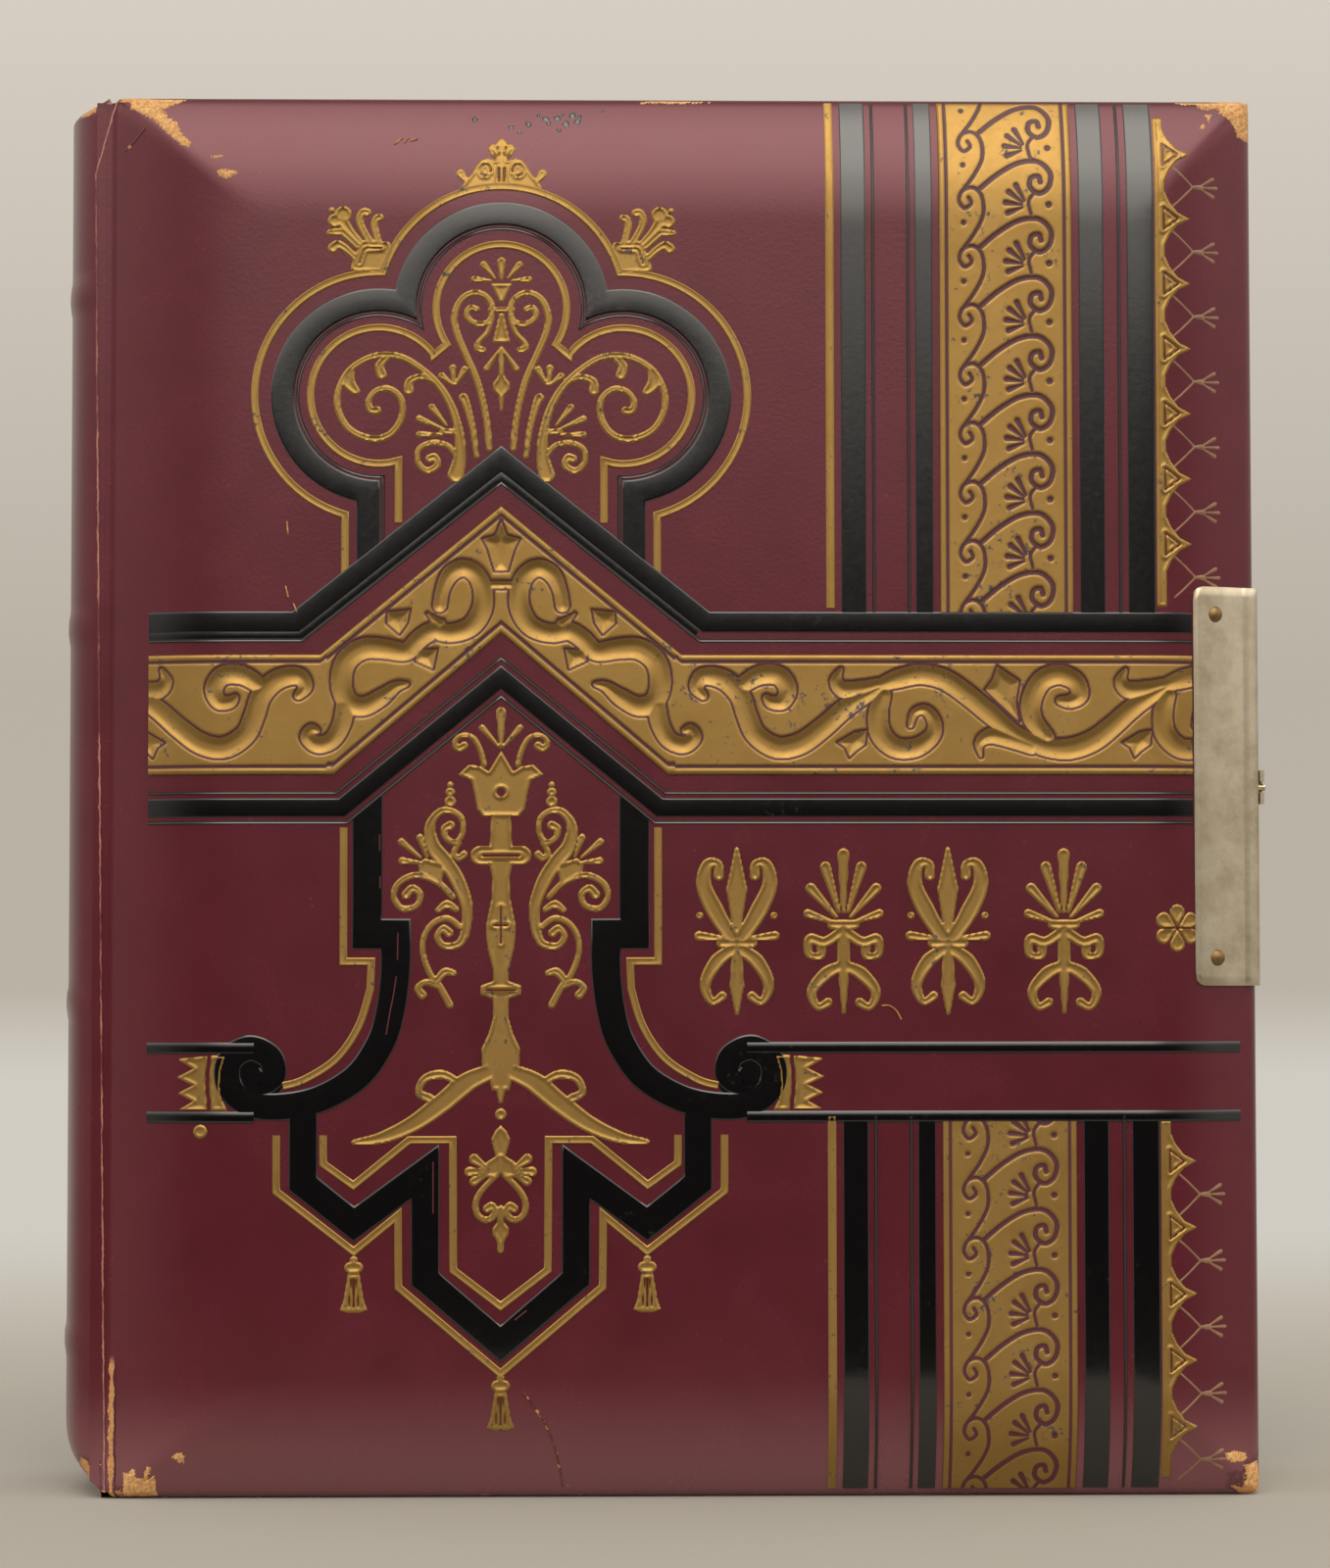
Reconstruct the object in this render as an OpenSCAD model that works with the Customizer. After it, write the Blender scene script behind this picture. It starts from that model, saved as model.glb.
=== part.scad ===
// Victorian photograph album, closed by a fore-edge clasp and standing on its tail edge.
// Frame: +Z up, front cover towards -Y, spine towards -X, fore edge towards +X.
// The origin lies on the floor under the middle of the album. All sizes are in millimetres.

/* [Album] */
// Height of the boards from tail to head
album_height = 267; // [220:1:320]
// Width of a board from the hinge crease to the fore edge
board_width = 219; // [190:1:260]
// How far the spine rounds out beyond the hinge crease
spine_round = 9.5; // [8:0.5:14]

/* [Covers] */
// Thickness of the leather
skin = 0.9; // [0.6:0.1:1.3]
// Thickness of a cover at its rim
rim_thickness = 4; // [3.4:0.1:6]
// Rise of the flat panel above the rim
crown_rise = 6; // [3:0.5:8]
// Width of the bevel along head, tail and fore edge
bevel = 22; // [14:1:26]
// Width of the softer bevel along the spine
spine_bevel = 32; // [20:1:36]
// Width of the leather turned in around the pastedown
turn_in = 8; // [5:0.5:12]
// Height of the stamped bands above the leather
stamp_rise = 0.35; // [0.2:0.05:0.6]

/* [Spine] */
// Rise of the raised bands on the spine
spine_band_rise = 0.4; // [0.2:0.1:0.8]
// Width of one raised band
spine_band_width = 5; // [3:0.5:8]

/* [Leaves] */
// Thickness of one card leaf
leaf_thickness = 2.9; // [2.4:0.1:3.4]
// Air between neighbouring leaves
leaf_gap = 0.3; // [0.2:0.05:0.6]
// Overhang of the covers around the leaves
square = 4; // [2:0.5:6]
// Thickness of the printed paper mat on each face of a leaf
mat_thickness = 0.5; // [0.3:0.1:0.6]
// Depth of the pocket behind each window
pocket_depth = 0.5; // [0.3:0.1:0.6]
// Thickness of the linen hinge strip
linen_thickness = 0.5; // [0.3:0.1:0.8]
// Free width of linen between its fold and the card
linen_free = 10; // [9:0.5:13]

/* [Clasp] */
// Sheet thickness of the clasp parts
plate_thickness = 0.8; // [0.6:0.1:1.2]
// Height of the clasp plates
plate_height = 76; // [50:1:90]
// Width of a clasp plate on the face of the cover
plate_width = 12.3; // [9:0.1:16]
// Radius of the hasp knuckles
knuckle_radius = 1.5; // [1.3:0.1:2]
// Radius of the hasp hinge pin
pin_radius = 0.7; // [0.5:0.1:0.8]
// Width of the hasp at its hinge
hasp_width = 20; // [14:1:26]
// Width of the forked end of the hasp
fork_width = 6.4; // [5.5:0.1:9]
// Radius of the stud that the fork grips
stud_radius = 0.7; // [0.5:0.1:0.9]

/* [Hidden] */
// Fits between pieces that move against each other
joint_gap = 0.8;
run_gap = 0.35;
pin_fit = 0.08;
// Clear space between the leaves and each cover
block_clear = 0.8;
leaf_count = 12;
eps = 0.01;

// Depths, measured from the mid plane towards either cover
leaf_pitch = leaf_thickness + leaf_gap;
block_half = leaf_count * leaf_pitch / 2;
inner_face = block_half + block_clear;
rim_face = inner_face + rim_thickness;
crown_face = rim_face + crown_rise;
// Edge of the board broken by this much
edge_break = 1;
bevel_power = 2.2;
bevel_steps = 9;

// Places across the width
clasp_reach = plate_thickness + run_gap + 2 * knuckle_radius;
x_left = -(spine_round + board_width + clasp_reach) / 2;
crease_x = x_left + spine_round;
fore_x = crease_x + board_width;
cover_x = crease_x + joint_gap / 2;
cover_width = board_width - joint_gap / 2;

// Guards and leaf hinges
mull_thickness = 0.5;
guard_inset = 2.5;
guard_left = crease_x - guard_inset;
guard_width = 10.35;
bead_swell = 0.2;
bead_radius = linen_thickness / 2 + bead_swell;
leaf_axis_x = guard_left + guard_width + run_gap + bead_radius;
leaf_left = leaf_axis_x + linen_free;
leaf_right = fore_x - square;
leaf_bottom = square;
leaf_height = album_height - 2 * square;
core_thickness = leaf_thickness - 2 * mat_thickness;
linen_grip = 4;
linen_inset = 2;
sewing_radius = 0.7;
// Windows of the leaves, and the size of leaf that they are drawn for
cabinet_window = [104, 148];
small_window = [56, 88];
window_room = [193, 259];
pocket_margin = 3;
pocket_floor = 0.2;
slit_drop = 9;
slit_width = 1;

// Clasp
clasp_lift = 1;
clasp_z = album_height / 2 + clasp_lift;
plate_corner = 2;
pin_margin = 5;
pin_rise = plate_height / 2 - pin_margin;
pin_inset = 8.2;
nail_radius = 1.3;
nail_depth = 5;
nail_head = 0.8;
stud_head = 0.3;
hasp_x = fore_x + clasp_reach - knuckle_radius;
hasp_y = inner_face + rim_thickness / 2;
strap_x = fore_x + plate_thickness + run_gap;
slot_half = stud_radius + run_gap;
tip_reach = 1.5;
fork_length = 9;
fork_taper = 10;
hasp_waist = 3;
hasp_neck = 3;
hasp_shoulder = 8;

// Stamped design: its upright axis, and the sizes of its bands.
// The trefoil keeps its distance from the head, the rails from the middle,
// the jambs and the pendant from the tail, and the stripes from the fore edge.
motif_inset = 75;
motif_x = crease_x + motif_inset;
middle_z = album_height / 2;
band = 5;
line = 1.7;
lobe_radius = 18.4;
lobe_x = 23.2;
lobe_drop = 58.6;
crown_drop = 41.9;
stub_x = 25.4;
stub_drop = 80;
// Rails: level from the middle, climb to the point, reach of the slopes
black_upper = [30.5, 31.2, 37.6];
black_lower = [-3.5, 24.3, 31];
gilt_upper = [25.6, 28.5, 34];
gilt_lower = [2.9, 26.8, 31.5];
rail_start = 8.5;
rail_end = 3;
plate_clear = 1;
jamb_x = 25.1;
jamb_foot = 102;
jamb_width = 5.4;
jamb_curve = [[20.5, 104], [20.3, 95], [22.2, 86], [27, 79.5], [34, 75.4], [41, 74.2]];
roll_centre = [45.4, 78.2];
roll_radius = 6.6;
line_start = 46;
line_levels = [71.7, 84.8];
pendant = [[37.2, 71], [37.2, 59.5], [27.6, 51.8], [14.2, 62.2], [14.2, 41.5], [0, 29.3]];
stripe_insets = [79.4, 66.5, 34, 25.4];
stripe_widths = [5.8, 5.4, 5.4, 6.6];
field_inset = 60.4;
field_width = 25.2;
stripe_end = 2;
stripe_foot = 71;
stripe_start = 28.5;
// Blind frame of the back cover, inside its bevels
frame_inset = 6;
// Ends of the raised spine bands, drawn in from the covers
band_inset = 3;
sweep_steps = 24;

pair = ["front", "back"];
cover_nodes = ["board", "leather", "pastedown", "clasp_plate", "plate_pins"];
leaf_nodes = ["core", "mats", "linen"];
function leaf_name(i, piece) = str("leaf_", i < 10 ? "0" : "", i, "_", piece);
$fn = 48;

// Outline helpers

function unit(v) = v / norm(v);
function left_of(v) = [-v[1], v[0]];
function backwards(list) = [for (i = [len(list) - 1:-1:0]) list[i]];
function flipped(list) = [for (p = list) [-p[0], p[1]]];

// Points of an arc about a centre, from one angle to another
function arc(centre, radius, from, to, steps = sweep_steps) =
    [for (i = [0:steps]) let (a = from + (to - from) * i / steps) centre + radius * [cos(a), sin(a)]];

// A smooth curve through hand-chosen points (Catmull-Rom)
function through(p, steps = 5) = concat(
    [for (i = [0:len(p) - 2], k = [0:steps - 1])
        let (a = p[max(i - 1, 0)], b = p[i], c = p[i + 1], d = p[min(i + 2, len(p) - 1)], t = k / steps)
        0.5 * (2 * b + (c - a) * t + (2 * a - 5 * b + 4 * c - d) * t * t
            + (3 * b - a - 3 * c + d) * t * t * t)],
    [p[len(p) - 1]]
);

// One side of a path, moved sideways by d with mitred corners
function beside(p, d) = [for (i = [0:len(p) - 1])
    let (
        before = i > 0 ? unit(p[i] - p[i - 1]) : unit(p[1] - p[0]),
        after = i < len(p) - 1 ? unit(p[i + 1] - p[i]) : before,
        n = left_of(before),
        m = left_of(after)
    )
    p[i] + d * (n + m) / (1 + n * m)];

module stroke(path, width) {
    polygon(concat(beside(path, width / 2), backwards(beside(path, -width / 2))));
}

// A path that ends on the axis, carried on by its own mirror image
function across(path) = concat(path, [for (i = [len(path) - 2:-1:0]) [-path[i][0], path[i][1]]]);

module both_ways(path, width) {
    stroke(path, width);
    stroke(flipped(path), width);
}

// Cushioned cover: two bevelled sections, one across and one up, kept where both agree

function bevel_height(t) = crown_rise * (1 - pow(1 - t, bevel_power));

// A bevelled section over a length: [distance along, depth], drawn in by g from the outside
function section(length, first, last, g, base) = concat(
    [[g, base], [g, rim_face - g - edge_break]],
    [for (i = [0:bevel_steps])
        let (s = edge_break + (first - edge_break) * i / bevel_steps)
        [max(s, g), rim_face - g + bevel_height(s / first)]],
    [for (i = [bevel_steps:-1:0])
        let (s = edge_break + (last - edge_break) * i / bevel_steps)
        [length - max(s, g), rim_face - g + bevel_height(s / last)]],
    [[length - g, rim_face - g - edge_break], [length - g, base]]
);

module pillow(g, base) {
    intersection() {
        translate([0, 0, g])
            linear_extrude(album_height - 2 * g)
                polygon([for (p = section(cover_width, spine_bevel, bevel, g, base))
                    [cover_x + p[0], -p[1]]]);
        translate([cover_x + g, 0, 0])
            rotate([90, 0, 90])
                linear_extrude(cover_width - 2 * g)
                    polygon([for (p = section(album_height, bevel, bevel, g, base)) [-p[1], p[0]]]);
    }
}

// A flat drawing in X and Z pressed onto the cover, standing up by rise
module pressed(rise) {
    difference() {
        intersection() {
            pillow(-rise, inner_face);
            translate([0, -inner_face - edge_break, 0])
                rotate([90, 0, 0])
                    linear_extrude(crown_face)
                        children();
        }
        pillow(0, inner_face);
    }
}

module pastedown_block(grow) {
    translate([cover_x + turn_in, -inner_face - skin, turn_in])
        cube([cover_width - 2 * turn_in, skin + grow, album_height - 2 * turn_in]);
}

// Front cover pieces; the back cover is their mirror image

module board() {
    color("peru")
        difference() {
            pillow(skin, inner_face + skin);
            plate_pins();
        }
}

module leather() {
    color("#6a2a30")
        difference() {
            pillow(0, inner_face);
            pillow(skin, inner_face + skin);
            pastedown_block(eps);
            plate_pins();
        }
}

module back_frame() {
    inset = bevel + frame_inset;
    path = [
        [cover_x + spine_bevel, inset], [fore_x - inset, inset],
        [fore_x - inset, album_height - inset], [cover_x + spine_bevel, album_height - inset],
    ];
    difference() {
        polygon(path);
        polygon([for (p = path) [
            p[0] + (p[0] < 0 ? band : -band),
            p[1] + (p[1] < album_height / 2 ? band : -band),
        ]]);
    }
}

module pastedown() {
    color("ivory")
        pastedown_block(0);
}

// Stamped bands

// A level rail that climbs to a point over the design's axis
function chevron(rail) =
    let (level = middle_z + rail[0], reach = rail[2])
    [[rail_left, level], [-reach, level], [0, level + rail[1]], [reach, level], [plate_edge, level]];

// Height of a rail's slope at a distance from the axis
function slope_height(rail, x) = middle_z + rail[0] + rail[1] * (1 - x / rail[2]);

plate_edge = fore_x - plate_width - motif_x - plate_clear;
rail_left = rail_start - motif_inset;
rail_right = fore_x - motif_x - rail_end;

function crown() = arc([0, album_height - crown_drop], lobe_radius, 3.5, 176.5);

function lobe() = concat(
    arc([lobe_x, album_height - lobe_drop], lobe_radius, 105, -80),
    [[stub_x, album_height - stub_drop], [stub_x, slope_height(black_upper, stub_x) + band / 2]]
);

module upright(inset, width) {
    for (run = [[middle_z + stripe_start, album_height - stripe_end], [stripe_end, stripe_foot]])
        translate([fore_x - motif_x - inset, run[0]])
            square([width, run[1] - run[0]]);
}

module black_drawing() {
    stroke(chevron(black_upper), band);
    stroke(chevron(black_lower), band);
    stroke(crown(), band);
    both_ways(lobe(), band);
    both_ways([[jamb_x, slope_height(black_lower, jamb_x)], [jamb_x, jamb_foot]], jamb_width);
    both_ways(through(jamb_curve), band);
    for (side = [-1, 1])
        translate([side * roll_centre[0], roll_centre[1]])
            circle(roll_radius);
    stroke(across(pendant), band);
    for (level = line_levels) {
        stroke([[rail_left, level], [-line_start, level]], line);
        stroke([[line_start, level], [rail_right, level]], line);
    }
    for (i = [0:len(stripe_insets) - 1])
        upright(stripe_insets[i], stripe_widths[i]);
}

module gilt_drawing() {
    polygon(concat(chevron(gilt_upper), backwards(chevron(gilt_lower))));
    upright(field_inset, field_width);
}

module black_bands() {
    color("#242426")
        pressed(stamp_rise)
            translate([motif_x, 0])
                black_drawing();
}

module gilt_bands() {
    color("goldenrod")
        pressed(stamp_rise)
            translate([motif_x, 0])
                difference() {
                    gilt_drawing();
                    black_drawing();
                }
}

// Spine

// Rounded section of the spine, a squared ellipse, drawn in by g
function spine_curve(g) =
    let (a = rim_face - g, b = spine_round - joint_gap / 2 - spine_band_rise - g, k = 2 / 2.6)
    [for (i = [0:36])
        let (t = -90 + 5 * i, c = max(cos(t), 0), s = sin(t))
        [crease_x - joint_gap / 2 - b * pow(c, k), a * sign(s) * pow(abs(s), k)]];

module spine_body(g, right) {
    linear_extrude(album_height - 2 * g)
        polygon(concat(
            spine_curve(g),
            [[right, rim_face - g], [right, -rim_face + g]]
        ));
}

module spine_leather() {
    levels = [0.11, 0.35, 0.62, 0.86] * album_height;
    color("#6a2a30") {
        difference() {
            spine_body(0, crease_x - joint_gap / 2);
            translate([0, 0, skin])
                spine_body(skin, crease_x + joint_gap);
        }
        for (z = levels)
            intersection() {
                translate([0, 0, z - spine_band_width / 2])
                    linear_extrude(spine_band_width)
                        difference() {
                            polygon(spine_curve(-spine_band_rise));
                            polygon(spine_curve(0));
                        }
                translate([x_left - eps, -inner_face + band_inset, 0])
                    cube([spine_round, 2 * (inner_face - band_inset), album_height]);
            }
    }
}

module spine_former() {
    color("tan")
        intersection() {
            translate([0, 0, skin])
                spine_body(skin, crease_x - joint_gap / 2);
            translate([x_left, -rim_face, 0])
                cube([guard_left - mull_thickness - x_left, 2 * rim_face, album_height]);
        }
}

module mull() {
    color("lightgrey")
        translate([guard_left - mull_thickness, -block_half, 2 * square])
            cube([mull_thickness, 2 * block_half, album_height - 4 * square]);
}

module sewing() {
    color("sandybrown")
        for (i = [1:4])
            translate([guard_left + guard_width / 2, 0, album_height * i / 5])
                rotate([90, 0, 0])
                    cylinder(r = sewing_radius, h = 2 * block_half, center = true);
}

module guards() {
    color("wheat")
        difference() {
            for (i = [1:leaf_count])
                translate([guard_left, leaf_y(i) - leaf_thickness / 2, leaf_bottom])
                    cube([guard_width, leaf_thickness, leaf_height]);
            sewing();
        }
}

module headbands() {
    radius = square / 2 - run_gap;
    color("firebrick")
        for (z = [leaf_bottom, album_height - leaf_bottom])
            intersection() {
                translate([guard_left + radius, 0, z])
                    rotate([90, 0, 0])
                        cylinder(r = radius, h = 2 * block_half - leaf_gap, center = true);
                translate([guard_left, -block_half, z < album_height / 2 ? 0 : z])
                    cube([2 * radius, 2 * block_half, leaf_bottom]);
            }
}

// Leaves, numbered from the front cover

function leaf_y(i) = (i - (leaf_count + 1) / 2) * leaf_pitch;
leaf_width = leaf_right - leaf_left;

// Odd leaves take one cabinet card on each face, even ones take four small cards
function windows(i) = i % 2 == 1
    ? [[[0.5, 0.52], cabinet_window]]
    : [for (a = [0.28, 0.72], b = [0.29, 0.75]) [[a, b], small_window]];
window_fit = min(leaf_width / window_room[0], leaf_height / window_room[1]);
function window_place(share) = [leaf_left + share[0] * leaf_width, leaf_bottom + share[1] * leaf_height];

module window_drawing(i, grow) {
    for (w = windows(i))
        translate(window_place(w[0]))
            square(w[1] * window_fit + 2 * [grow, grow], center = true);
}

// Slits below the windows, where the photographs slide in
module slit_drawing(i) {
    for (w = windows(i))
        translate(window_place(w[0]) - [0, (w[1][1] / 2 + slit_drop) * window_fit])
            square([w[1][0] * window_fit + 2 * pocket_margin, slit_width], center = true);
}

module leaf_slab(i, from, to) {
    translate([0, leaf_y(i) + to, 0])
        rotate([90, 0, 0])
            linear_extrude(to - from)
                children();
}

module leaf_sheet() {
    translate([leaf_left, leaf_bottom])
        square([leaf_width, leaf_height]);
}

module leaf_core(i) {
    half = core_thickness / 2;
    pocket = min(pocket_depth, half - pocket_floor);
    color("cornsilk")
        difference() {
            leaf_slab(i, -half, half)
                leaf_sheet();
            for (from = [-half - eps, half - pocket])
                leaf_slab(i, from, from + pocket + eps)
                    window_drawing(i, pocket_margin);
            leaf_linen(i);
        }
}

module leaf_mats(i) {
    color("ivory")
        for (from = [-leaf_thickness / 2, leaf_thickness / 2 - mat_thickness])
            leaf_slab(i, from, from + mat_thickness)
                difference() {
                    leaf_sheet();
                    window_drawing(i, 0);
                    slit_drawing(i);
                }
}

module leaf_linen(i) {
    color("firebrick")
        translate([leaf_axis_x, leaf_y(i), leaf_bottom + linen_inset]) {
            cylinder(r = bead_radius, h = leaf_height - 2 * linen_inset);
            translate([0, -linen_thickness / 2, 0])
                cube([linen_free + linen_grip, linen_thickness, leaf_height - 2 * linen_inset]);
        }
}

// Clasp

module plate_outline() {
    reach = plate_width + plate_thickness;
    translate([fore_x - plate_width, clasp_z - plate_height / 2]) {
        translate([0, plate_corner])
            square([reach, plate_height - 2 * plate_corner]);
        translate([plate_corner, 0])
            square([reach - plate_corner, plate_height]);
        for (z = [plate_corner, plate_height - plate_corner])
            translate([plate_corner, z])
                circle(plate_corner);
    }
}

// Depth of the cover's face at the nails, where the bevel has risen part of the way
nail_face = rim_face + bevel_height(pin_inset / bevel);

module plate_pins() {
    color("silver")
        for (z = [clasp_z - pin_rise, clasp_z + pin_rise])
            translate([fore_x - pin_inset, -nail_face, z])
                rotate([90, 0, 0]) {
                    translate([0, 0, -nail_depth])
                        cylinder(r = nail_radius / 2, h = nail_depth + plate_thickness + eps);
                    translate([0, 0, plate_thickness])
                        cylinder(r1 = nail_radius, r2 = nail_radius * 0.6, h = nail_head);
                }
}

module clasp_plate() {
    color("silver")
        difference() {
            intersection() {
                pillow(-plate_thickness, inner_face + run_gap);
                rotate([90, 0, 0])
                    linear_extrude(2 * crown_face)
                        plate_outline();
            }
            pillow(0, inner_face);
            plate_pins();
        }
}

module clasp_stud() {
    color("silver")
        translate([fore_x + plate_thickness, -hasp_y, clasp_z])
            rotate([0, 90, 0])
                cylinder(r = stud_radius, h = run_gap + plate_thickness + stud_head);
}

// Knuckles of the hasp hinge: the plate carries the outer two, the hasp the one between
knuckle_half = hasp_width / 4;

module knuckle(from, to) {
    translate([hasp_x, hasp_y, from])
        cylinder(r = knuckle_radius, h = to - from);
}

module back_clasp_plate() {
    color("silver") {
        mirror([0, 1, 0])
            clasp_plate();
        difference() {
            for (side = [-1, 1]) {
                from = clasp_z + (side > 0 ? knuckle_half + run_gap : -hasp_width / 2);
                to = from + hasp_width / 2 - knuckle_half - run_gap;
                knuckle(from, to);
                translate([fore_x + plate_thickness - eps, hasp_y - knuckle_radius / 2, from])
                    cube([hasp_x - fore_x - plate_thickness, knuckle_radius, to - from]);
            }
            hasp_pin();
        }
    }
}

module hasp_pin() {
    color("silver")
        translate([hasp_x, hasp_y, clasp_z - hasp_width / 2])
            cylinder(r = pin_radius, h = hasp_width);
}

module clasp_hasp() {
    tip_y = -hasp_y - tip_reach;
    fork_y = -hasp_y + fork_length;
    outline = [
        [hasp_y, knuckle_half], [hasp_y - hasp_neck, knuckle_half],
        [hasp_y - hasp_shoulder, hasp_width / 2], [fork_y + fork_taper, hasp_width / 2 - hasp_waist],
        [fork_y, fork_width / 2], [tip_y, fork_width / 2],
    ];
    color("silver")
        difference() {
            union() {
                knuckle(clasp_z - knuckle_half, clasp_z + knuckle_half);
                translate([strap_x, 0, clasp_z])
                    rotate([90, 0, 90])
                        linear_extrude(plate_thickness)
                            difference() {
                                polygon(concat(outline, backwards([for (p = outline) [p[0], -p[1]]])));
                                translate([tip_y - eps, -slot_half])
                                    square([tip_reach + eps + slot_half, 2 * slot_half]);
                            }
            }
            translate([hasp_x, hasp_y, clasp_z - hasp_width])
                cylinder(r = pin_radius + pin_fit, h = 2 * hasp_width);
        }
}

// The pieces

spine_leather();
spine_former();
guards();
mull();
sewing();
headbands();
board();  // front_board
leather();  // front_leather
pastedown();  // front_pastedown
clasp_plate();  // front_clasp_plate
plate_pins();  // front_plate_pins
black_bands();
gilt_bands();
clasp_stud();
mirror([0, 1, 0]) board();  // back_board
mirror([0, 1, 0]) {  // back_leather
    leather();
    pressed(stamp_rise) back_frame();
}
mirror([0, 1, 0]) pastedown();  // back_pastedown
back_clasp_plate();
mirror([0, 1, 0]) plate_pins();  // back_plate_pins
hasp_pin();
clasp_hasp();
for (i = [1:leaf_count]) {
    leaf_core(i);
    leaf_mats(i);
    leaf_linen(i);
}
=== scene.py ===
"""Looks of a victorian photograph album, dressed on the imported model.

Sizes are in millimetres until a mesh is made. The stamped design is drawn on the front cover in two
coordinates: u, from the design's upright axis towards the fore edge, and z, up from the tail.
"""
import math

import bmesh
import bpy
import numpy as np
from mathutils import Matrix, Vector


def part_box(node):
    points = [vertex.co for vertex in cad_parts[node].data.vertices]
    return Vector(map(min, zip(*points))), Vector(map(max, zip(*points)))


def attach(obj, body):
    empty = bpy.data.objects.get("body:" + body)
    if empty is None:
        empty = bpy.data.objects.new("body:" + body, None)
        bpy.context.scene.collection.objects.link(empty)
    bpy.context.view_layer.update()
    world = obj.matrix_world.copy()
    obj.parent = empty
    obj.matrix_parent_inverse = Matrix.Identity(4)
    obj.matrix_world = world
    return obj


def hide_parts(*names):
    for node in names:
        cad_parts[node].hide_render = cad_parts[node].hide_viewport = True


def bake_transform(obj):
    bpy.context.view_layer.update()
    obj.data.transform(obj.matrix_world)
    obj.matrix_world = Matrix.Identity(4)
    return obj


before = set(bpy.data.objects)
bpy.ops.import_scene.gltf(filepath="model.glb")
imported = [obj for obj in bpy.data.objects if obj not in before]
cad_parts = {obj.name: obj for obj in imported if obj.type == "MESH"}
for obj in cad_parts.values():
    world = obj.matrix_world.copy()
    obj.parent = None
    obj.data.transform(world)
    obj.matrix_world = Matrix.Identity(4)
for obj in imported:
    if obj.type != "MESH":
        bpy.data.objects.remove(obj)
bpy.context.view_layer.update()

MM = 0.001


# Sizes taken from the frame

def box_mm(node):
    """Lowest and highest corner of a node, in millimetres."""
    low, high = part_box(node)
    return np.array(low) / MM, np.array(high) / MM


COVER_LOW, COVER_HIGH = box_mm("front_leather")
COVER_X = COVER_LOW[0]
FORE_X = COVER_HIGH[0]
HEIGHT = COVER_HIGH[2]
CROWN = -COVER_LOW[1]
INNER = -COVER_HIGH[1]
SPINE_LOW, SPINE_HIGH = box_mm("spine_leather")
RIM = SPINE_HIGH[1]
SPINE_EDGE = SPINE_HIGH[0]
SPINE_OUT = SPINE_LOW[0]
HINGE_X = (SPINE_EDGE + COVER_X) / 2
AXIS_FROM_HINGE = 75.0
AXIS_X = HINGE_X + AXIS_FROM_HINGE
FORE_U = FORE_X - AXIS_X

# Bevelled covers
BEVEL = 25.0
SPINE_BEVEL = 32.0
BEVEL_POWER = 2.4
MITRE_POWER = 12
EDGE_RADIUS = 1.6
SWELL = 0.10
SWELL_ACROSS = 19.0
SWELL_UP = 23.0
TURN_IN = 8.0
TURN_RADIUS = 0.6
SKIN = 0.9
CORNER_RADIUS = 2.6
CORNER_GROWTH = 0.25
CORNER_POINTS = 7
SIDE_POINTS = 54
PANEL_RINGS = 24
BEVEL_RINGS = 18
ROLL_RINGS = 7
CREASE_TOP = HINGE_X - 3.0
CREASE_FOOT = HINGE_X + 0.2
CREASE_BEND = 252.0
CREASE_SWING = 4.4
LINE_WANDER = 0.4
LINE_FADE = 0.15
TEAR_X = HINGE_X + 1.5
TEAR_TOP = 27.0
TEAR_FADE = 2.0


# Meshes

def easing(t):
    """Smooth step from 0 to 1."""
    t = np.clip(t, 0, 1)
    return t * t * (3 - 2 * t)


def grid_quads(rows, columns, around=False):
    """Four-cornered faces between neighbouring rows and columns of a grid numbered row by row."""
    r = np.arange(rows - 1)[:, None]
    c = np.arange(columns if around else columns - 1)[None, :]
    beside = (c + 1) % columns
    corners = [r * columns + c, r * columns + beside, (r + 1) * columns + beside, (r + 1) * columns + c]
    return np.stack(corners, axis=-1).reshape(-1, 4)


def grid_points(x, y, z):
    """Points of a grid, from coordinates that are spread over each other."""
    return np.stack(np.broadcast_arrays(x, y, z), axis=-1)


def border_ring(rows, columns):
    """Numbers of a grid's border points, in order round it."""
    number = np.arange(rows * columns).reshape(rows, columns)
    return np.concatenate([number[0, :-1], number[:-1, -1], number[-1, :0:-1], number[:0:-1, 0]])


def tube(points):
    """A closed shell from rows of points: each row is a ring, and the first and last are capped."""
    rows, columns = points.shape[:2]
    first = list(range(columns))
    last = [(rows - 1) * columns + c for c in first]
    return points.reshape(-1, 3), grid_quads(rows, columns, True), [first[::-1], last]


def slab(points, depth):
    """A closed shell from a grid of points: a skirt runs from its border back to a floor behind it."""
    rows, columns = points.shape[:2]
    border = border_ring(rows, columns)
    floor = points.reshape(-1, 3)[border] + [0, depth, 0]
    below = np.arange(len(border)) + rows * columns
    skirt = np.stack([border, np.roll(border, -1), np.roll(below, -1), below], axis=-1)
    faces = np.concatenate([grid_quads(rows, columns), skirt])
    return np.concatenate([points.reshape(-1, 3), floor]), faces, [below.tolist()]


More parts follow.
